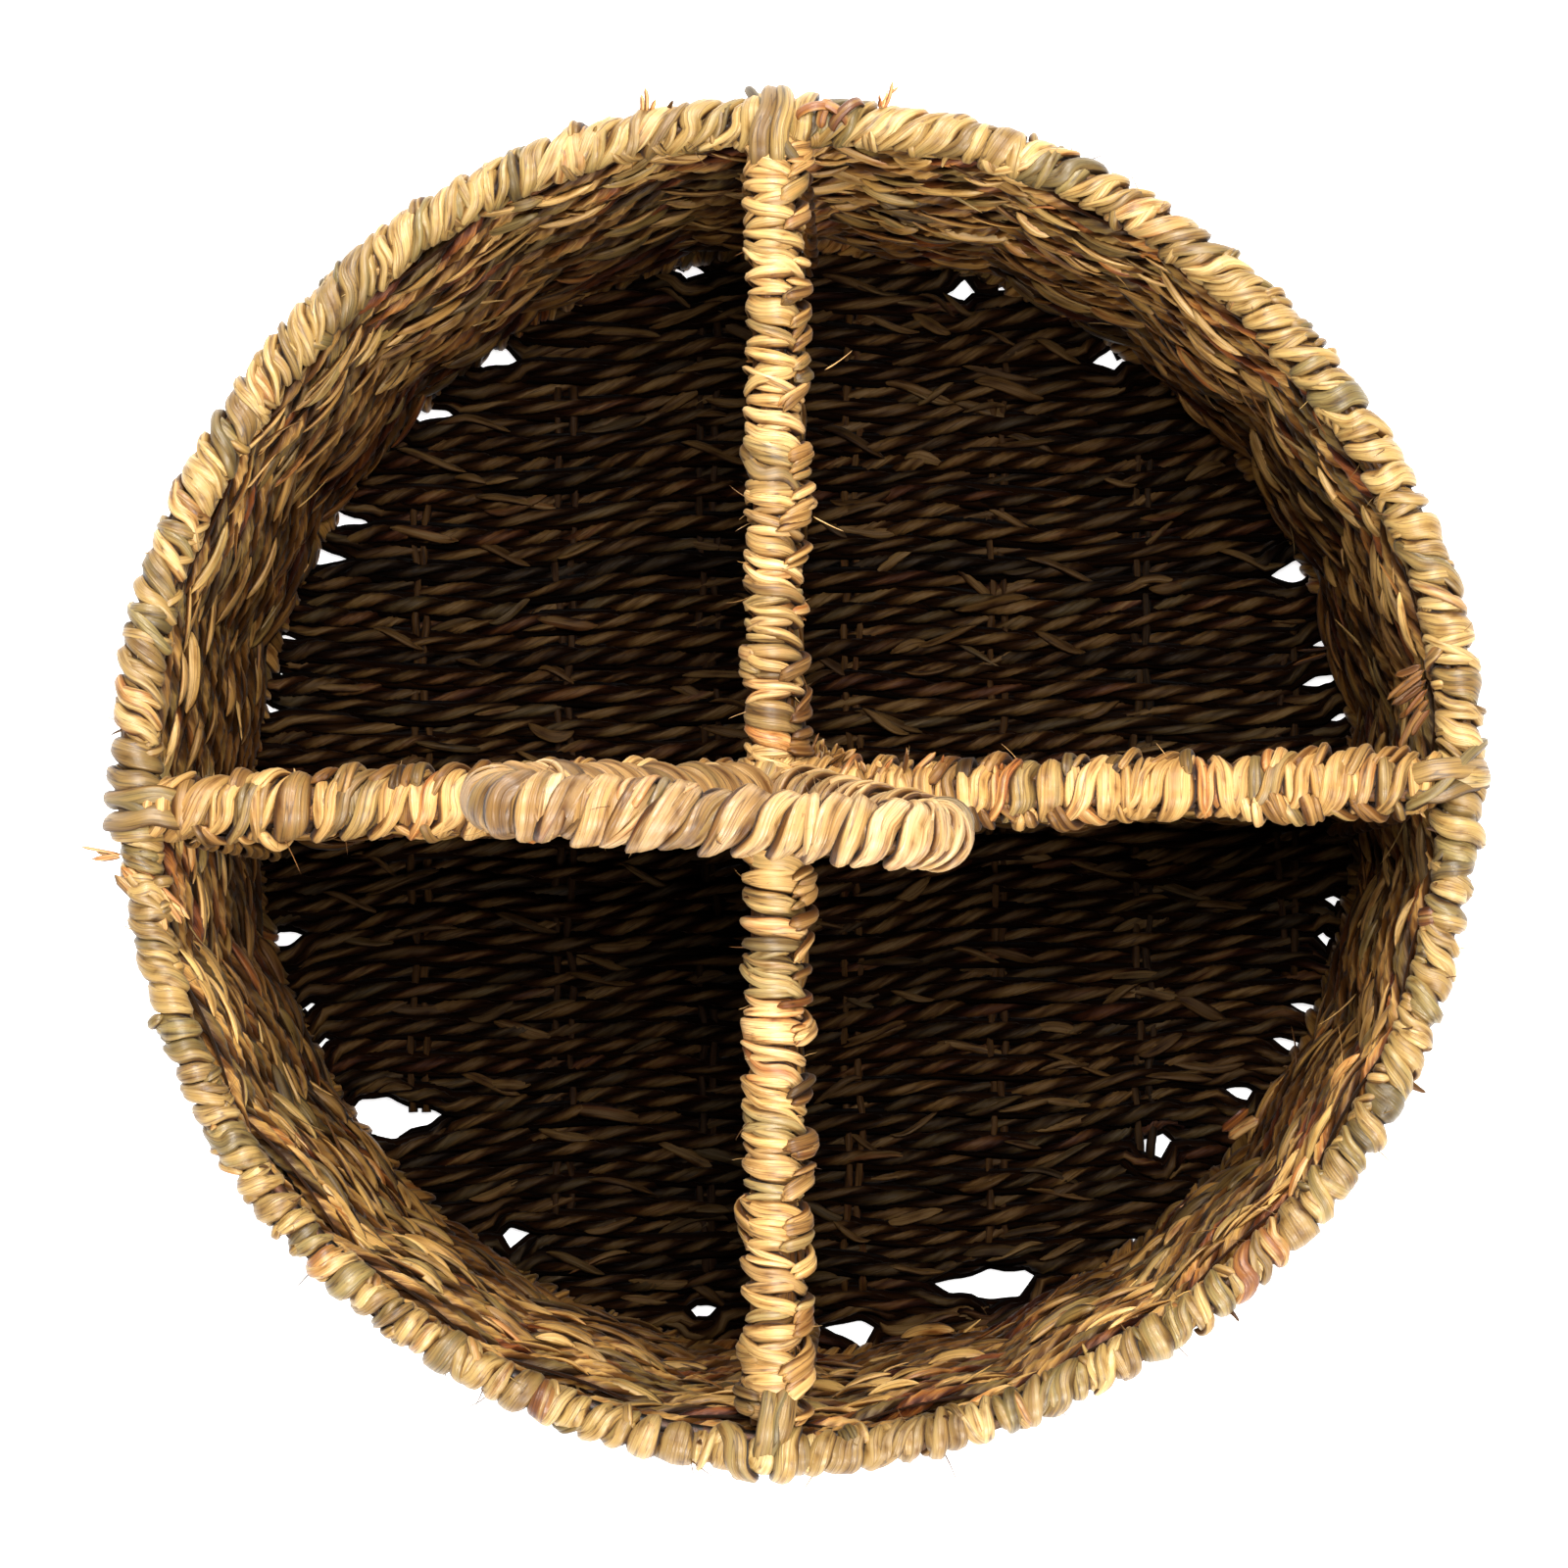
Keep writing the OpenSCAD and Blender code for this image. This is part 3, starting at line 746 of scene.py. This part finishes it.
def openings():
    """Places beside the foot ring where rows draw apart: middle, half length and half width."""
    found = []
    for degrees, inset, along, wide in (
            (218, 8, 15, 6.4), (290, 10, 17, 5.2), (314, 14, 7, 4.2), (275, 6, 9, 3.8),
            (259, 7, 6, 3.0), (237, 4, 6, 3.2), (325, 5, 6, 3.0), (12, 6, 8, 2.8), (25, 3, 7, 3.6),
            (56, 2, 6, 3.6), (73, 3, 5, 3.6), (102, 3, 6, 3.6), (125, 2, 8, 4.6), (134, 3, 8, 3.2),
            (149, 2, 9, 3.6), (153, 2, 8, 3.8)):
        turn, out = math.radians(degrees), FLOOR_R - inset
        found.append([out * math.cos(turn), out * math.sin(turn), along, wide])
    for end in (-1, 1):
        y = -0.45 * FLOOR_R
        while y < 0.3 * FLOOR_R:
            reach = math.sqrt(FLOOR_R**2 - y * y) - between(1, 3)
            found.append([end * reach, y, between(3, 7), between(2.0, 3.4)])
            y += ROW_H * random.choice([2, 3, 4, 5])
    return found


def drawn_apart(x, y, openings):
    """How far a row at height y moves aside for the openings near it."""
    aside = np.zeros_like(x)
    for at_x, at_y, along, wide in openings:
        off = y - (math.floor(at_y / ROW_H) + 0.5) * ROW_H
        share = (x - at_x) / along
        bulge = np.clip(1 - share**2, 0, 1) ** 0.5 * (1 + 0.5 * math.copysign(1, at_x) * share)
        bulge *= 1 + 0.12 * np.sin(x / 1.9 + at_y) + 0.1 * np.sin(x / 3.1 - off)
        bulge *= 1.35 if off * at_y > 0 else 0.65
        aside += math.copysign(wide, off) * bulge * math.exp((0.5 * ROW_H - abs(off)) / 4.5)
    return aside


class LaidRow:
    """A floor row's middle line, read at distances along X."""

    def __init__(self, x, path):
        self.x, self.path = x, path
        self.span = (x[0] + 6, x[-1] - 6)

    def __call__(self, u):
        return read_line(u, self.x, self.path), UP, NORTH


def floor():
    """Rows along X pass over and under stakes along Y. In places two rows draw apart beside the
    foot ring, and leave an opening."""
    rows = int(2 * (FLOOR_R + 1) / ROW_H) // 2 * 2 + 1
    holes = openings()
    for half, name in enumerate(("near", "far")):
        strands = Strands()
        for row in range(rows * half // 2, rows * (half + 1) // 2):
            y = (row - (rows - 1) / 2) * ROW_H
            reach = math.sqrt(max((FLOOR_R + 2.5) ** 2 - y * y, 100))
            x = np.arange(-reach, reach + 2, 2.2)
            aside = wander(x, 24, 0.6) + 1.3 * np.sin(x / 29 + y / 41) + 0.9 * np.sin(
                x / 13 - y / 23 + 2)
            aside *= np.clip((FLOOR_R - abs(y)) / 20, 0, 1)
            aside += drawn_apart(x, y, holes)
            level = FLOOR_MID + FLOOR_SWING * np.cos(math.pi * ((x - FLOOR_SHIFT) / FLOOR_PITCH
                                                               + row))
            path = np.stack([x, y + aside, level + wander(x, 20, 0.6)], -1)
            cord(strands, path, UP, ply_r=between(1.4, 1.7), shade=between(0.65, 1.0),
                 pitch=between(23, 38), broad=1.05)
            # A strip with painted shade closes the chinks between rows
            strands.add(path - 1.2 * UP, UP, 3.9, 0.5, sides=6, shade=0.1)
            if reach > 50:
                overlays(strands, LaidRow(x, path), 1, 1.4, 4, 0.75)
        strands.piece(f"floor_rows_{name}", "floor_seagrass", "floor_weave")


def floor_stakes():
    """Pairs of cords across the floor, which the rows pass over and under."""
    strands = Strands()
    for i in range(-3, 4):
        x = FLOOR_SHIFT + i * FLOOR_PITCH
        reach = math.sqrt(FLOOR_R**2 - x * x) - 14 - 0.06 * abs(x)
        y = np.arange(-reach, reach, 4.0)
        for offset in (-1.8, 1.8):
            path = np.stack([x + offset + wander(y, 12, 1.3), y,
                             FLOOR_MID - 0.3 + wander(y, 9, 0.6)], -1)
            strands.add(path, UP, 1.4, 1.2, sides=6, spin=0.2, shade=0.6)
    strands.piece("floor_stake_cords", "stake_seagrass", "floor_stakes")


# -------- dividers

def from_crossing(ahead, out, aside, z):
    """Points at distances ahead of the crossing and to the left of it, and at heights."""
    out, aside, z = (np.asarray(each)[..., None] for each in (out, aside, z))
    return out * ahead + aside * beside(ahead) + [*CROSS, 0] + z * UP


class PanelRow:
    """The middle line of one row of a divider panel."""

    def __init__(self, row, z, ahead, last):
        self.row, self.z, self.ahead = row, z, ahead
        self.span = (3.0, last)
        self.seed = between(0, TAU, 2)

    def __call__(self, u):
        swing = PANEL_SWING * np.cos(math.pi * (u / PANEL_PITCH + self.row))
        z = self.z + 0.5 * np.sin(u / 9 + self.seed[0]) + 0.3 * np.sin(u / 4 + self.seed[1])
        return from_crossing(self.ahead, u, swing, z), beside(self.ahead), UP


def divider_panel(side):
    """Rows that pass in and out of a divider's stakes, from the centre post to the wall."""
    node = "divider_panel_" + side
    ahead = direction_to(node)
    reach = far_end(node) - 1.2
    rows = round((PANEL_HIGH - PANEL_LOW) / ROW_H)
    row_h = (PANEL_HIGH - PANEL_LOW) / rows
    strands = Strands()
    for i in range(rows):
        share = (i + 0.5) / rows
        row = PanelRow(i, PANEL_LOW + row_h * (i + 0.5), ahead,
                       reach + 2 - (1 - share) * (WALL_TOP_R - FOOT_R))
        path, across, _ = row(np.arange(*row.span, 2.8))
        # Painted shade: lower rows are darker
        shade = 0.4 + 0.6 * share**2
        cord(strands, path, across, shade=shade, pitch=between(20, 28), broad=1.3)
        # A strip with painted shade closes the chinks up to the next row
        strands.add(path[::2], across, 4.3, 0.5, sides=6, shade=0.2 * shade)
        for face in (-1, 1):
            overlays(strands, row, face, 2.3, 3, shade)
    strands.piece("panel_rows_" + side, "wall_seagrass", node)


def divider_stakes(axis, sides):
    """The stakes inside two opposite panels."""
    strands = Strands()
    z = np.arange(PANEL_LOW, PANEL_HIGH - 3, 5.0)
    for side in sides:
        ahead = direction_to("divider_panel_" + side)
        for i in (1, 2, 3):
            strands.add(from_crossing(ahead, i * PANEL_PITCH, 0, z), ahead, 1.9, 1.9, spin=0.2, shade=0.6)
    strands.piece("divider_stake_cords_" + axis, "stake_seagrass", "divider_stakes_" + axis)


BAR_ASIDE = 0.3  # the near and far bars' leaves lie this far to the left of their locks


def bar_core(side):
    """The line along a divider's top, always drawn towards +X or +Y."""
    node = "divider_binding_" + side
    ahead = direction_to(node)
    s = np.arange(5.0, far_end(node) + 1.5, CORE_STEP)
    path = from_crossing(ahead, s, 0, BAR_Z)
    if side in ("left", "near"):
        path = path[::-1]
    if side in ("near", "far"):
        path = path - [BAR_ASIDE, 0, 0]
    return Core(path)


def divider_bar(side):
    """The bound bar along a divider's top, with turned-down leaf ends along its edges."""
    inset, pitch, slant, *shares = BARS[side]
    core = bar_core(side)
    upright = side in ("near", "far")
    radius = BAR_SECTION - inset
    strands = Strands()
    stuffing(strands, core, radius, 0, core.length)
    # The left and right bars get painted shade, as less of the light falls on them
    bind(strands, core, 0, core.length - 2, radius, pitch, 1.14, 3.9, slant=lambda s: slant,
         roll=0.35 * random.choice([-1, 1]), neck=0.7, sway=0.25, second=0.5, crossing=0.3,
         stray=0.9, shade=1.0 if upright else 0.8)
    for edge, share in zip((1, -1), shares):
        place = between(0, 3)
        while place < core.length - 9:
            if between() < share:
                # Turned-down leaf ends get painted shade, by a random amount
                lock(strands, core, place, radius + (1.8 if upright and edge > 0 else 0.6), edge,
                     between(2, 10), between(2.8, 5.4), between(1.8, 3.0),
                     shade=between(0.4, 0.95), top=between(0.8, 1.3))
            place += 5.9 * between(0.6, 1.4)
    strands.piece("bar_leaves_" + side, "bar_seagrass", "divider_binding_" + side)


def lashings():
    """Broad leaves that tie each bar onto the rim, and three that lead from the bar over it."""
    core = rim_core()
    strands = Strands()
    for side in SIDES:
        node = "divider_binding_" + side
        ahead = direction_to(node)
        reach = far_end(node)
        meet = CROSS + (reach + 9) * ahead[:2]
        place = math.atan2(meet[1], meet[0]) % TAU * RIM_R
        for offset in (-7.5, 5.2):
            wrap(strands, core, place + offset, RIM_SECTION - 0.9, 6.4, 3.6,
                 between(-3, 3), 0.3, between(-0.3, 0.3), 0.7, hue=0.35)
        along = np.linspace(-10, 12, 18)
        across = beside(ahead)
        for offset, broad, hue in ((-2.4, 2.6, 0.3), (2.2, 3.0, 0.45), (0.6, 1.5, 0.12)):
            height = 6.6 + between(0, 1.2) + 1.2 * np.cos(along / 5)
            height -= 0.05 * np.maximum(along, 0) ** 2 + 0.12 * np.maximum(-along - 4, 0) ** 2
            lean = random.normal(0, 0.15 if broad > 2 else 0.35)
            aside = offset + lean * along + wander(along, 8, 1.2)
            path = from_crossing(ahead, reach + along, aside, BAR_Z + height)
            strands.add(path, UP + across * random.normal(0, 0.4), broad, 1.6, sides=12,
                        creases=4, taper=3, under=0.15, hue=hue, shade=0.9, square=0.85)
    strands.piece("rim_lashing_leaves", "rim_seagrass", "rim_lashings")


def lacings():
    """Cords that loop from row to row in the corners between the panels and the wall."""
    strands = Strands()
    for side in SIDES:
        ahead = direction_to("divider_panel_" + side)
        reach = far_end("divider_panel_" + side) - 6
        z = np.arange(PANEL_LOW + 4, PANEL_HIGH - 2, 1.5)
        share = (z - PANEL_LOW) / (PANEL_HIGH - PANEL_LOW)
        for edge in (-1, 1):
            loop = TAU * z / 17 + wander(z, 12, 1.5) + between(0, TAU)
            out = reach - (1 - share) * (WALL_TOP_R - FOOT_R) + 1.6 * np.cos(loop)
            aside = edge * (7.2 + 1.4 * np.sin(loop))
            strands.add(from_crossing(ahead, out, aside, z), beside(ahead),
                        1.4 + wander(z, 9, 0.4), 1.1, sides=7, taper=3, shade=0.6)
    strands.piece("lacing_cords", "wall_seagrass", "divider_lacings")


# -------- handle and crossing

def arc(middle, radius, first, last, count):
    turn = np.linspace(first, last, count)
    return np.array(middle) + radius * np.stack([np.cos(turn), np.sin(turn)], -1)


def handle_line():
    """The handle's middle line in its own upright plane: across, and up from the crossing."""
    top = (TOTAL_H - HANDLE_SECTION - BAR_Z) / math.cos(HANDLE_LEAN)
    corners = [np.array([HANDLE_SHIFT + side * (HANDLE_W / 2 - HANDLE_CORNER_R),
                         top - HANDLE_CORNER_R]) for side in (-1, 1)]
    leaves = []
    for side, corner in zip((-1, 1), corners):
        to_foot = np.array([side * HANDLE_FOOT_X, HANDLE_AIM_Z]) - corner
        bend = math.acos(HANDLE_CORNER_R / np.linalg.norm(to_foot))
        leaves.append(math.atan2(to_foot[1], to_foot[0]) + side * bend)
    left = arc(corners[0], HANDLE_CORNER_R, leaves[0] % TAU, math.pi / 2, 10)
    right = arc(corners[1], HANDLE_CORNER_R, math.pi / 2, leaves[1], 10)
    feet = [np.linspace([side * HANDLE_FOOT_X, HANDLE_FOOT_Z], bent, 30) for side, bent in
            ((-1, left[0]), (1, right[-1]))]
    top_bar = np.linspace(left[-1], right[0], 24)
    return np.vstack([feet[0][:-1], left, top_bar[1:-1], right, feet[1][::-1][1:]])


def handle_place(across, up, aside=0.0):
    """A point of the handle's plane in the basket's frame."""
    y = aside * math.cos(HANDLE_LEAN) - up * math.sin(HANDLE_LEAN)
    z = aside * math.sin(HANDLE_LEAN) + up * math.cos(HANDLE_LEAN)
    c, s = math.cos(HANDLE_TURN), math.sin(HANDLE_TURN)
    return np.stack([across * c - y * s + CROSS[0], across * s + y * c + CROSS[1], z + BAR_Z], -1)


def handle_core():
    line = handle_line()
    path = handle_place(line[:, 0], line[:, 1])
    beside = handle_place(line[:, 0], line[:, 1], 1.0) - path
    tangent = unit(np.gradient(path, axis=0))
    return Core(path, unit(np.cross(beside, tangent)) * -1)


def handle():
    """The bound handle: broad pale leaves, slanted and overlapping like a twisted rope, darker
    towards its left leg."""
    core = handle_core()
    strands = Strands()
    radius = HANDLE_SECTION - HANDLE_INSET
    stuffing(strands, core, radius, 0, core.length)
    s = 6.0
    while s < core.length - 6:
        # How much the handle turns within 10 mm
        bend = np.linalg.norm(np.subtract(*core.at(np.array([s + 5, s - 5]))[2]))
        gap = between(5.5, 9.8) / (1 + 0.8 * bend)
        tilt = between(2.0, 5.6) / (1 + bend)
        hue = between(0.3, 0.74)
        shade = float(np.interp(s / core.length, (0.3, 0.68), (0.58, 0.98)))
        wrap(strands, core, s + gap / 2, radius + between(-0.4, 0.6),
             gap * between(0.9, 1.12), between(3.2, 4.2), tilt,
             between(-0.02, 0.25), between(0.15, 0.55), between(0.72, 0.95),
             flare=0.9 * bend, fan=between(-0.25, 0.25), steps=40, sides=18, hue=hue,
             shade=shade, square=0.75, under=0.1)
        for place in (0.25, 0.95):
            if between() < 0.5:
                wrap(strands, core, s + gap * place, radius - 0.3, gap * between(0.3, 0.6),
                     2.6, tilt + random.normal(0, 2.2), 0.1, -0.3, 0.85, flare=0.9 * bend,
                     shade=0.8 * shade, hue=near_hue(hue, 0.15))
        if between() < 0.22:
            wrap(strands, core, s, radius + 1.1, gap * between(0.3, 0.5), 1.8,
                 tilt + random.choice([-3, 4]), 0.1, 0, 0.8, flare=0.9 * bend, hue=hue)
        if between() < 0.4:
            lock(strands, core, s, radius + 0.3, -1, between(2, 8), between(3, 5),
                 between(1.4, 2.2), shade=0.9)
        s += gap
    strands.piece("handle_leaves", "handle_seagrass", "handle_binding")


def knot():
    """Leaves lashed crosswise over the place where the bars and the handle meet."""
    strands = Strands()
    for _ in range(26):
        heading = random.choice([0.6, 2.5, 0.0, 1.57]) + random.normal(0, 0.35)
        reach = between(9, 14)
        t = np.linspace(-1, 1, 16)
        aside = between(-7, 7)
        height = BAR_Z + 7.6 + between(0, 1.8) - 13 * np.abs(t) ** 3
        path = from_crossing(away_at(heading), t * reach, aside, height)
        strands.add(path, UP, between(1.8, 3.4), 1.3, sides=10, crease=0.2, creases=4, taper=3,
                    under=0.2)
    strands.piece("crossing_leaves", "bar_seagrass", "centre_knot")


# -------- loose fibres

def loose(strands, core, radius, count, spread, length, torn_share=0.25):
    """Fibres and torn leaf ends that stand off a binding."""
    for _ in range(count):
        s = np.array([between(2, core.length - 2)])
        angle = np.array([between(*spread)])
        root, away = core.around(s, angle, radius - 2.2)
        heading = away[0] * between(0.6, 1.2) + random.normal(0, 0.6, 3)
        torn = between() < torn_share
        fibre(strands, root[0], heading, between(*length) * (0.6 if torn else 1.0),
              radius=0.4 if torn else 0.16, flat=3 if torn else 1.3, hue=between(0.3, 0.75))


def torn(strands, root, heading, length, width, hue, curl=0.4, shade=1.0, strip=1.2):
    """A torn leaf end: strips side by side, each broken off at its own length."""
    root, heading = np.array(root, float), unit(np.array(heading, float))
    side = unit(np.cross(heading, random.normal(0, 0.5, 3) + [0, 0, 1]))
    face = np.cross(side, heading)
    strips = max(2, round(width / strip))
    bend = face * curl * between(-1, 1)
    for i in range(strips):
        t = np.linspace(0, between(0.5, 1.0), 9)[:, None]
        aside = (i - (strips - 1) / 2) * width / strips * (1 + between(-0.2, 0.5) * t)
        stray = random.normal(0, 0.26 / strip, 3) * t**2
        path = root + side * aside + length * (heading * t + bend * t**2 + stray)
        strands.add(path, face + random.normal(0, 0.3, 3), between(0.4, 0.75) * width / strips,
                    0.28, crease=0.25, hue=near_hue(hue, 0.1), taper=1.6,
                    shade=shade * between(0.75, 1.1))


def on_rim(degrees, out, up):
    """A place beside the rim's middle line."""
    return (RIM_R + out) * away_at(math.radians(degrees)) + (RIM_Z + up) * UP


def curls():
    """Rust-coloured leaf ends, coiled on top of the rim beside the far bar."""
    strands = Strands()
    for degrees, size, lean in ((88.2, 4.6, 0.2), (86.6, 4.0, -0.5), (85.4, 5.0, 0.7),
                                (87.3, 3.2, 1.2)):
        t = np.linspace(-0.4, 3.6, 18)
        middle = on_rim(degrees, -1.0, 6.2)
        path = middle + np.stack([size * np.cos(t) * math.cos(lean), size * np.cos(t)
                                  * math.sin(lean) + 1.5 * np.sin(t), size * 0.7 * np.sin(t)], -1)
        strands.add(path, path - middle, 1.5, 0.5, hue=between(0.88, 0.97), taper=2)
    strands.piece("rim_curls", "rim_seagrass")


def tufts():
    """Torn leaves and stray fibres, each where the basket has one."""
    strands = Strands()
    torn(strands, on_rim(102.8, 3, 2), (0.3, 1, 0.5), 9, 3.2, 0.9, 0.2)
    for spread in (-0.7, 0.0, 0.6):
        torn(strands, on_rim(82.5, 2, 4), (0.4 + spread, 1, 0.6), 7, 1.4, 0.93)
        torn(strands, on_rim(187.0, 4, 2), (-1, 0.3 * spread, 0.2), 8, 1.6, 0.92)
    torn(strands, on_rim(188.0, 4, 4), (0.75, -0.65, 0.0), 21, 7.5, 0.66, 0.25, 0.85, 2.2)
    torn(strands, on_rim(190.5, -3, 4), (0.35, -0.9, -0.2), 17, 6.0, 0.7, 0.3, 0.85, 2.0)
    for i in range(5):
        torn(strands, on_rim(9.5 - 0.9 * i, -7, 1 - 0.8 * i), (-0.8, -0.5 - 0.12 * i, -0.3),
              between(10, 19), 3.2, between(0.2, 0.9), 0.3, shade=0.42, strip=1.8)
    torn(strands, (146, 38, 74), (-1, -0.25, 0.5), 17, 5.5, 0.88, 0.2, shade=0.4, strip=2.2)
    torn(strands, (118, -96, 60), (0.8, 0.7, 0.4), 14, 5.0, 0.9, 0.2, shade=0.8, strip=2.4)
    for i in range(15):
        torn(strands, [*(CROSS + between((5, 5), (14, 9))), BAR_Z + between(-5, 2)],
             (random.normal(0.6, 0.6), random.normal(0.9, 0.3), between(0, 0.4)),
             between(6, 12), between(2, 5), between(0.15, 0.5),
             shade=between(0.25, 0.6), strip=2.0)
    for along, lean, size in ((23, -0.3, 8), (27, 0.2, 7), (32, 0.7, 12), (36, 0.9, 12),
                              (43, 0.1, 6), (58, -0.3, 6)):
        torn(strands, [*(CROSS + (along, 5)), BAR_Z + 4], (lean, 0.9, 0.5), size, 3.4,
             between(0.7, 0.92), 0.5, shade=0.7, strip=1.7)
    for x, y, heading, size in ((-136, -9, (0.55, -0.8, 0.1), 19), (5, 66, (1, -0.6, 0.2), 9),
                                (8, 104, (0.8, 0.4, 0.2), 9)):
        fibre(strands, np.array([x, y, BAR_Z + 2.0]), np.array(heading), size, radius=0.25,
              flat=1.2, hue=0.7, curl=0.2)
    strands.piece("torn_leaves", "bar_seagrass")


def binding_fibres():
    """Fibres that stand off the rim, the handle and the bars."""
    strands = Strands()
    loose(strands, rim_core(), RIM_SECTION - 0.8, 130, (-0.3, math.pi + 0.6), (3, 9))
    strands.piece("rim_fibres", "rim_seagrass")
    strands = Strands()
    loose(strands, handle_core(), HANDLE_SECTION - 0.3, 40, (0, TAU), (3, 11))
    strands.piece("handle_fibres", "handle_seagrass")
    strands = Strands()
    for side in SIDES:
        for count, spread in ((22, (-0.6, 0.7)), (14, (2.4, 3.7))):
            loose(strands, bar_core(side), BAR_SECTION - 0.3, count, spread, (3, 9), 0.4)
    strands.piece("bar_fibres", "bar_seagrass")


def wall_fibres():
    """Fibres that stand off both faces of the wall, most of them inside."""
    strands = Strands()
    for _ in range(170):
        turn = between(0, TAU)
        z = between(WALL_LOW + 10, WALL_HIGH)
        face = random.choice([-1, -1, 1])
        away = away_at(turn)
        along = beside(away) * random.choice([-1, 1])
        heading = face * away * between(0.1, 0.5) + along + [0, 0, random.normal(0, 0.3)]
        fibre(strands, away * (wall_mid(z) + face * 5.2) + [0, 0, z], heading,
              between(5, 15), radius=between(0.15, 0.4), flat=2.0, curl=0.25)
    strands.piece("wall_fibres", "wall_seagrass")


# -------- stage, light and camera

LAMP_AWAY, TABLE_HALF = 1.6, 4.0  # metres


def soft_light(name, azimuth, elevation, size, power):
    """A square soft box that faces the rim's middle."""
    light = bpy.data.lights.new(name, "AREA")
    light.size = size
    light.energy = power
    a, e = math.radians(azimuth), math.radians(elevation)
    aim = Vector((0, 0, RIM_Z * MM))
    away = Vector((math.cos(a) * math.cos(e), math.sin(a) * math.cos(e), math.sin(e)))
    lamp = bpy.data.objects.new(name, light)
    lamp.location = aim + LAMP_AWAY * away
    lamp.rotation_euler = away.to_track_quat("Z", "Y").to_euler()
    bpy.context.scene.collection.objects.link(lamp)


def stage():
    """A pale glowing table, as for a cut-out picture, three soft boxes above it, and a sky that
    gets dim overhead."""
    mesh = bpy.data.meshes.new("table")
    mesh.from_pydata([(x * TABLE_HALF, y * TABLE_HALF, 0) for x, y in
                      ((-1, -1), (1, -1), (1, 1), (-1, 1))], [], [(0, 1, 2, 3)])
    table = bpy.data.objects.new("table", mesh)
    bpy.context.scene.collection.objects.link(table)
    white = Nodes(bpy.data.materials.new("table_white"))
    white.fill(white.last, {"Base Color": (0.86, 0.86, 0.85, 1), "Roughness": 0.7,
                            "Emission Color": (1, 1, 1, 1), "Emission Strength": 0.8})
    mesh.materials.append(white.owner)

    sky = Nodes(bpy.data.worlds.new("studio"), "Background")
    bpy.context.scene.world = sky.owner
    height = sky.apart(sky.node("ShaderNodeTexCoord", {}, "Generated"))[2]
    sky.fill(sky.last, {"Color": sky.ramp(height, [(0.1, (0.9, 0.9, 0.9, 1)),
                                                (0.75, (0.24, 0.24, 0.24, 1))])})
    soft_light("top", 65, 78, 0.6, 29)
    soft_light("key", 95, 41, 0.45, 26)
    soft_light("near", 288, 42, 0.7, 32)
    bpy.context.scene.view_settings.view_transform = "Standard"


def camera():
    """Almost straight down, from a little to the near right, as a person leans over it."""
    data = bpy.data.cameras.new("camera")
    data.lens = 113.4
    data.sensor_width = 36
    data.clip_end = 20
    looker = bpy.data.objects.new("camera", data)
    rim_plane = RIM_Z * MM
    eye = Vector((0.0243, -0.0569, rim_plane + 1.27))
    target = Vector((-0.0026, -0.0028, rim_plane))
    back = (eye - target).normalized()
    right = Vector((0, 1, 0)).cross(back).normalized()
    looker.matrix_world = Matrix((right, back.cross(right), back)).transposed().to_4x4()
    looker.location = eye
    bpy.context.scene.collection.objects.link(looker)
    bpy.context.scene.camera = looker


camera()
stage()
for wire in ("rim_wire", "foot_wire", "divider_wire_x", "divider_wire_y", "centre_post",
             "handle_wire"):
    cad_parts[wire].data.materials.clear()
    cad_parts[wire].data.materials.append(WIRE)
rim()
foot()
wall()
wall_stakes()
floor()
floor_stakes()
for side in SIDES:
    divider_panel(side)
divider_stakes("x", ("left", "right"))
divider_stakes("y", ("near", "far"))
for side in BARS:
    divider_bar(side)
lashings()
lacings()
handle()
knot()
curls()
tufts()
binding_fibres()
wall_fibres()
